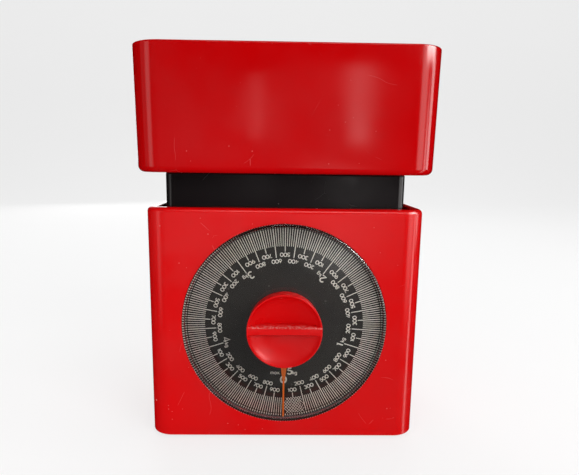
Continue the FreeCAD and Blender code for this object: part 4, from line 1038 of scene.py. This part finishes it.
def glow_card(name, place, target, width, height, strength, soft=0.5, tilt=0.0):
    """A card with soft edges that is seen only as a reflection in the glossy pieces."""
    material = bpy.data.materials.new(name)
    material.use_nodes = True
    tree = material.node_tree
    tree.nodes.clear()
    where = add(tree, "ShaderNodeTexCoord").outputs["Object"]
    parts = add(tree, "ShaderNodeSeparateXYZ", {"Vector": where})
    fade = None
    for axis, size in (("X", width), ("Y", height)):
        distance = sums(tree, "ABSOLUTE", parts.outputs[axis])
        edge = ramp(tree, distance, size / 2 * (1 - soft), size / 2, 1.0, 0.0)
        fade = edge if fade is None else sums(tree, "MULTIPLY", fade, edge)
    glow = add(tree, "ShaderNodeEmission", {"Color": (1.0, 0.97, 0.95, 1), "Strength": strength})
    nothing = add(tree, "ShaderNodeBsdfTransparent")
    mixer = add(tree, "ShaderNodeMixShader", {0: fade, 1: nothing.outputs[0], 2: glow.outputs[0]})
    ending = add(tree, "ShaderNodeOutputMaterial")
    tree.links.new(mixer.outputs[0], ending.inputs["Surface"])
    mesh = bpy.data.meshes.new(name)
    w, h = width / 2, height / 2
    mesh.from_pydata([(-w, -h, 0), (w, -h, 0), (w, h, 0), (-w, h, 0)], [], [(0, 1, 2, 3)])
    card = staged(name, mesh, material)
    card.location = place
    card.rotation_euler = facing(place, target)
    card.rotation_euler.rotate_axis("Z", tilt)
    card.visible_camera = card.visible_diffuse = card.visible_shadow = card.visible_transmission = False


def light_the_scene():
    world = bpy.data.worlds.new("pale_room")
    bpy.context.scene.world = world
    world.use_nodes = True
    sky = world.node_tree.nodes["Background"]
    sky.inputs["Color"].default_value = (1.0, 1.0, 1.0, 1)
    sky.inputs["Strength"].default_value = 0.25
    world.cycles_visibility.glossy = False
    middle = (cad_box[0] + cad_box[1]) / 2
    # name, place, width, height, power, seen in reflections
    for name, place, width, height, power, mirrored in (
            ("top_softbox", (0.1, -0.2, 1.6), 1.8, 1.6, 9, False),
            ("front_low_fill", (-0.1, -1.5, 0.12), 1.0, 0.5, 5, False),
            ("front_left_fill", (-1.0, -1.3, 0.6), 1.2, 1.2, 7, False),
            ("front_right_key", (1.0, -1.2, 0.9), 0.9, 0.9, 15, False),
            ("back_fill", (0.0, 1.3, 1.5), 1.4, 1.0, 10, False),
            ("left_strip", (-1.2, -0.35, 0.5), 0.4, 1.2, 0.3, True),
            ("right_strip", (1.1, -0.05, 0.45), 0.28, 1.0, 3.8, True),
            ("rear_strip", (-0.5, 1.4, 0.7), 0.5, 1.2, 4, True)):
        area_light(name, place, middle, width, height, power, mirrored)
    # name, place, the x and z it faces on the housing's front, width, height, strength, softness, tilt
    for name, place, x, z, *rest in (
            ("edge_right", (0.8, -0.25, -0.1), 0.08, 0.07, 0.16, 1.0, 4.0, 0.5),
            ("edge_above", (0.12, -0.75, 1.0), 0.0, 0.14, 0.9, 0.40, 5.0, 0.5),
            ("arc_upper_right", (0.65, -0.25, 0.55), 0.05, 0.1, 0.60, 0.50, 20.0, 0.5),
            ("band_right", (0.95, -0.75, 0.25), 0.08, 0.14, 0.75, 1.2, 2.6, 0.6),
            ("band_left", (-1.0, -0.70, 0.25), -0.08, 0.14, 0.50, 1.2, 1.4, 0.6),
            ("sheen_low_right", (0.14, -0.85, 0.02), 0.03, 0.12, 0.28, 0.15, 1.0, 0.9, -0.35),
            ("glimpse_left", (-0.084, -1.3, 0.27), 0, 0.19, 0.04, 0.20, 2.0, 0.5),
            ("glimpse_right", (0.27, -1.3, 0.30), 0, 0.19, 0.10, 0.42, 2.2, 0.5)):
        glow_card(name, place, (x, FACE_Y, z), *rest)


def set_camera():
    """Seen from a little above, close up, and very slightly from the left."""
    distance, height, aside = 295.0 * MM, 164.5 * MM, -5.4 * MM
    down, turned, rolled = math.radians(10.46), math.radians(1.12), math.radians(0.78)
    data = bpy.data.cameras.new("camera")
    data.sensor_width = 36.0
    data.lens = 32.75
    data.shift_x, data.shift_y = 0.0063, 0.034
    camera = bpy.data.objects.new("camera", data)
    bpy.context.scene.collection.objects.link(camera)
    position = Vector((aside, FACE_Y - distance, SHELL.low.z + height))
    ahead = Vector((math.sin(turned) * math.cos(down), math.cos(turned) * math.cos(down), -math.sin(down)))
    aim = ahead.to_track_quat("-Z", "Y").to_matrix() @ Matrix.Rotation(rolled, 3, "Z")
    camera.matrix_world = Matrix.Translation(position) @ aim.to_4x4()
    bpy.context.scene.camera = camera
    bpy.context.scene.view_settings.view_transform = "Standard"


make_floor()
make_surround()
light_the_scene()
set_camera()
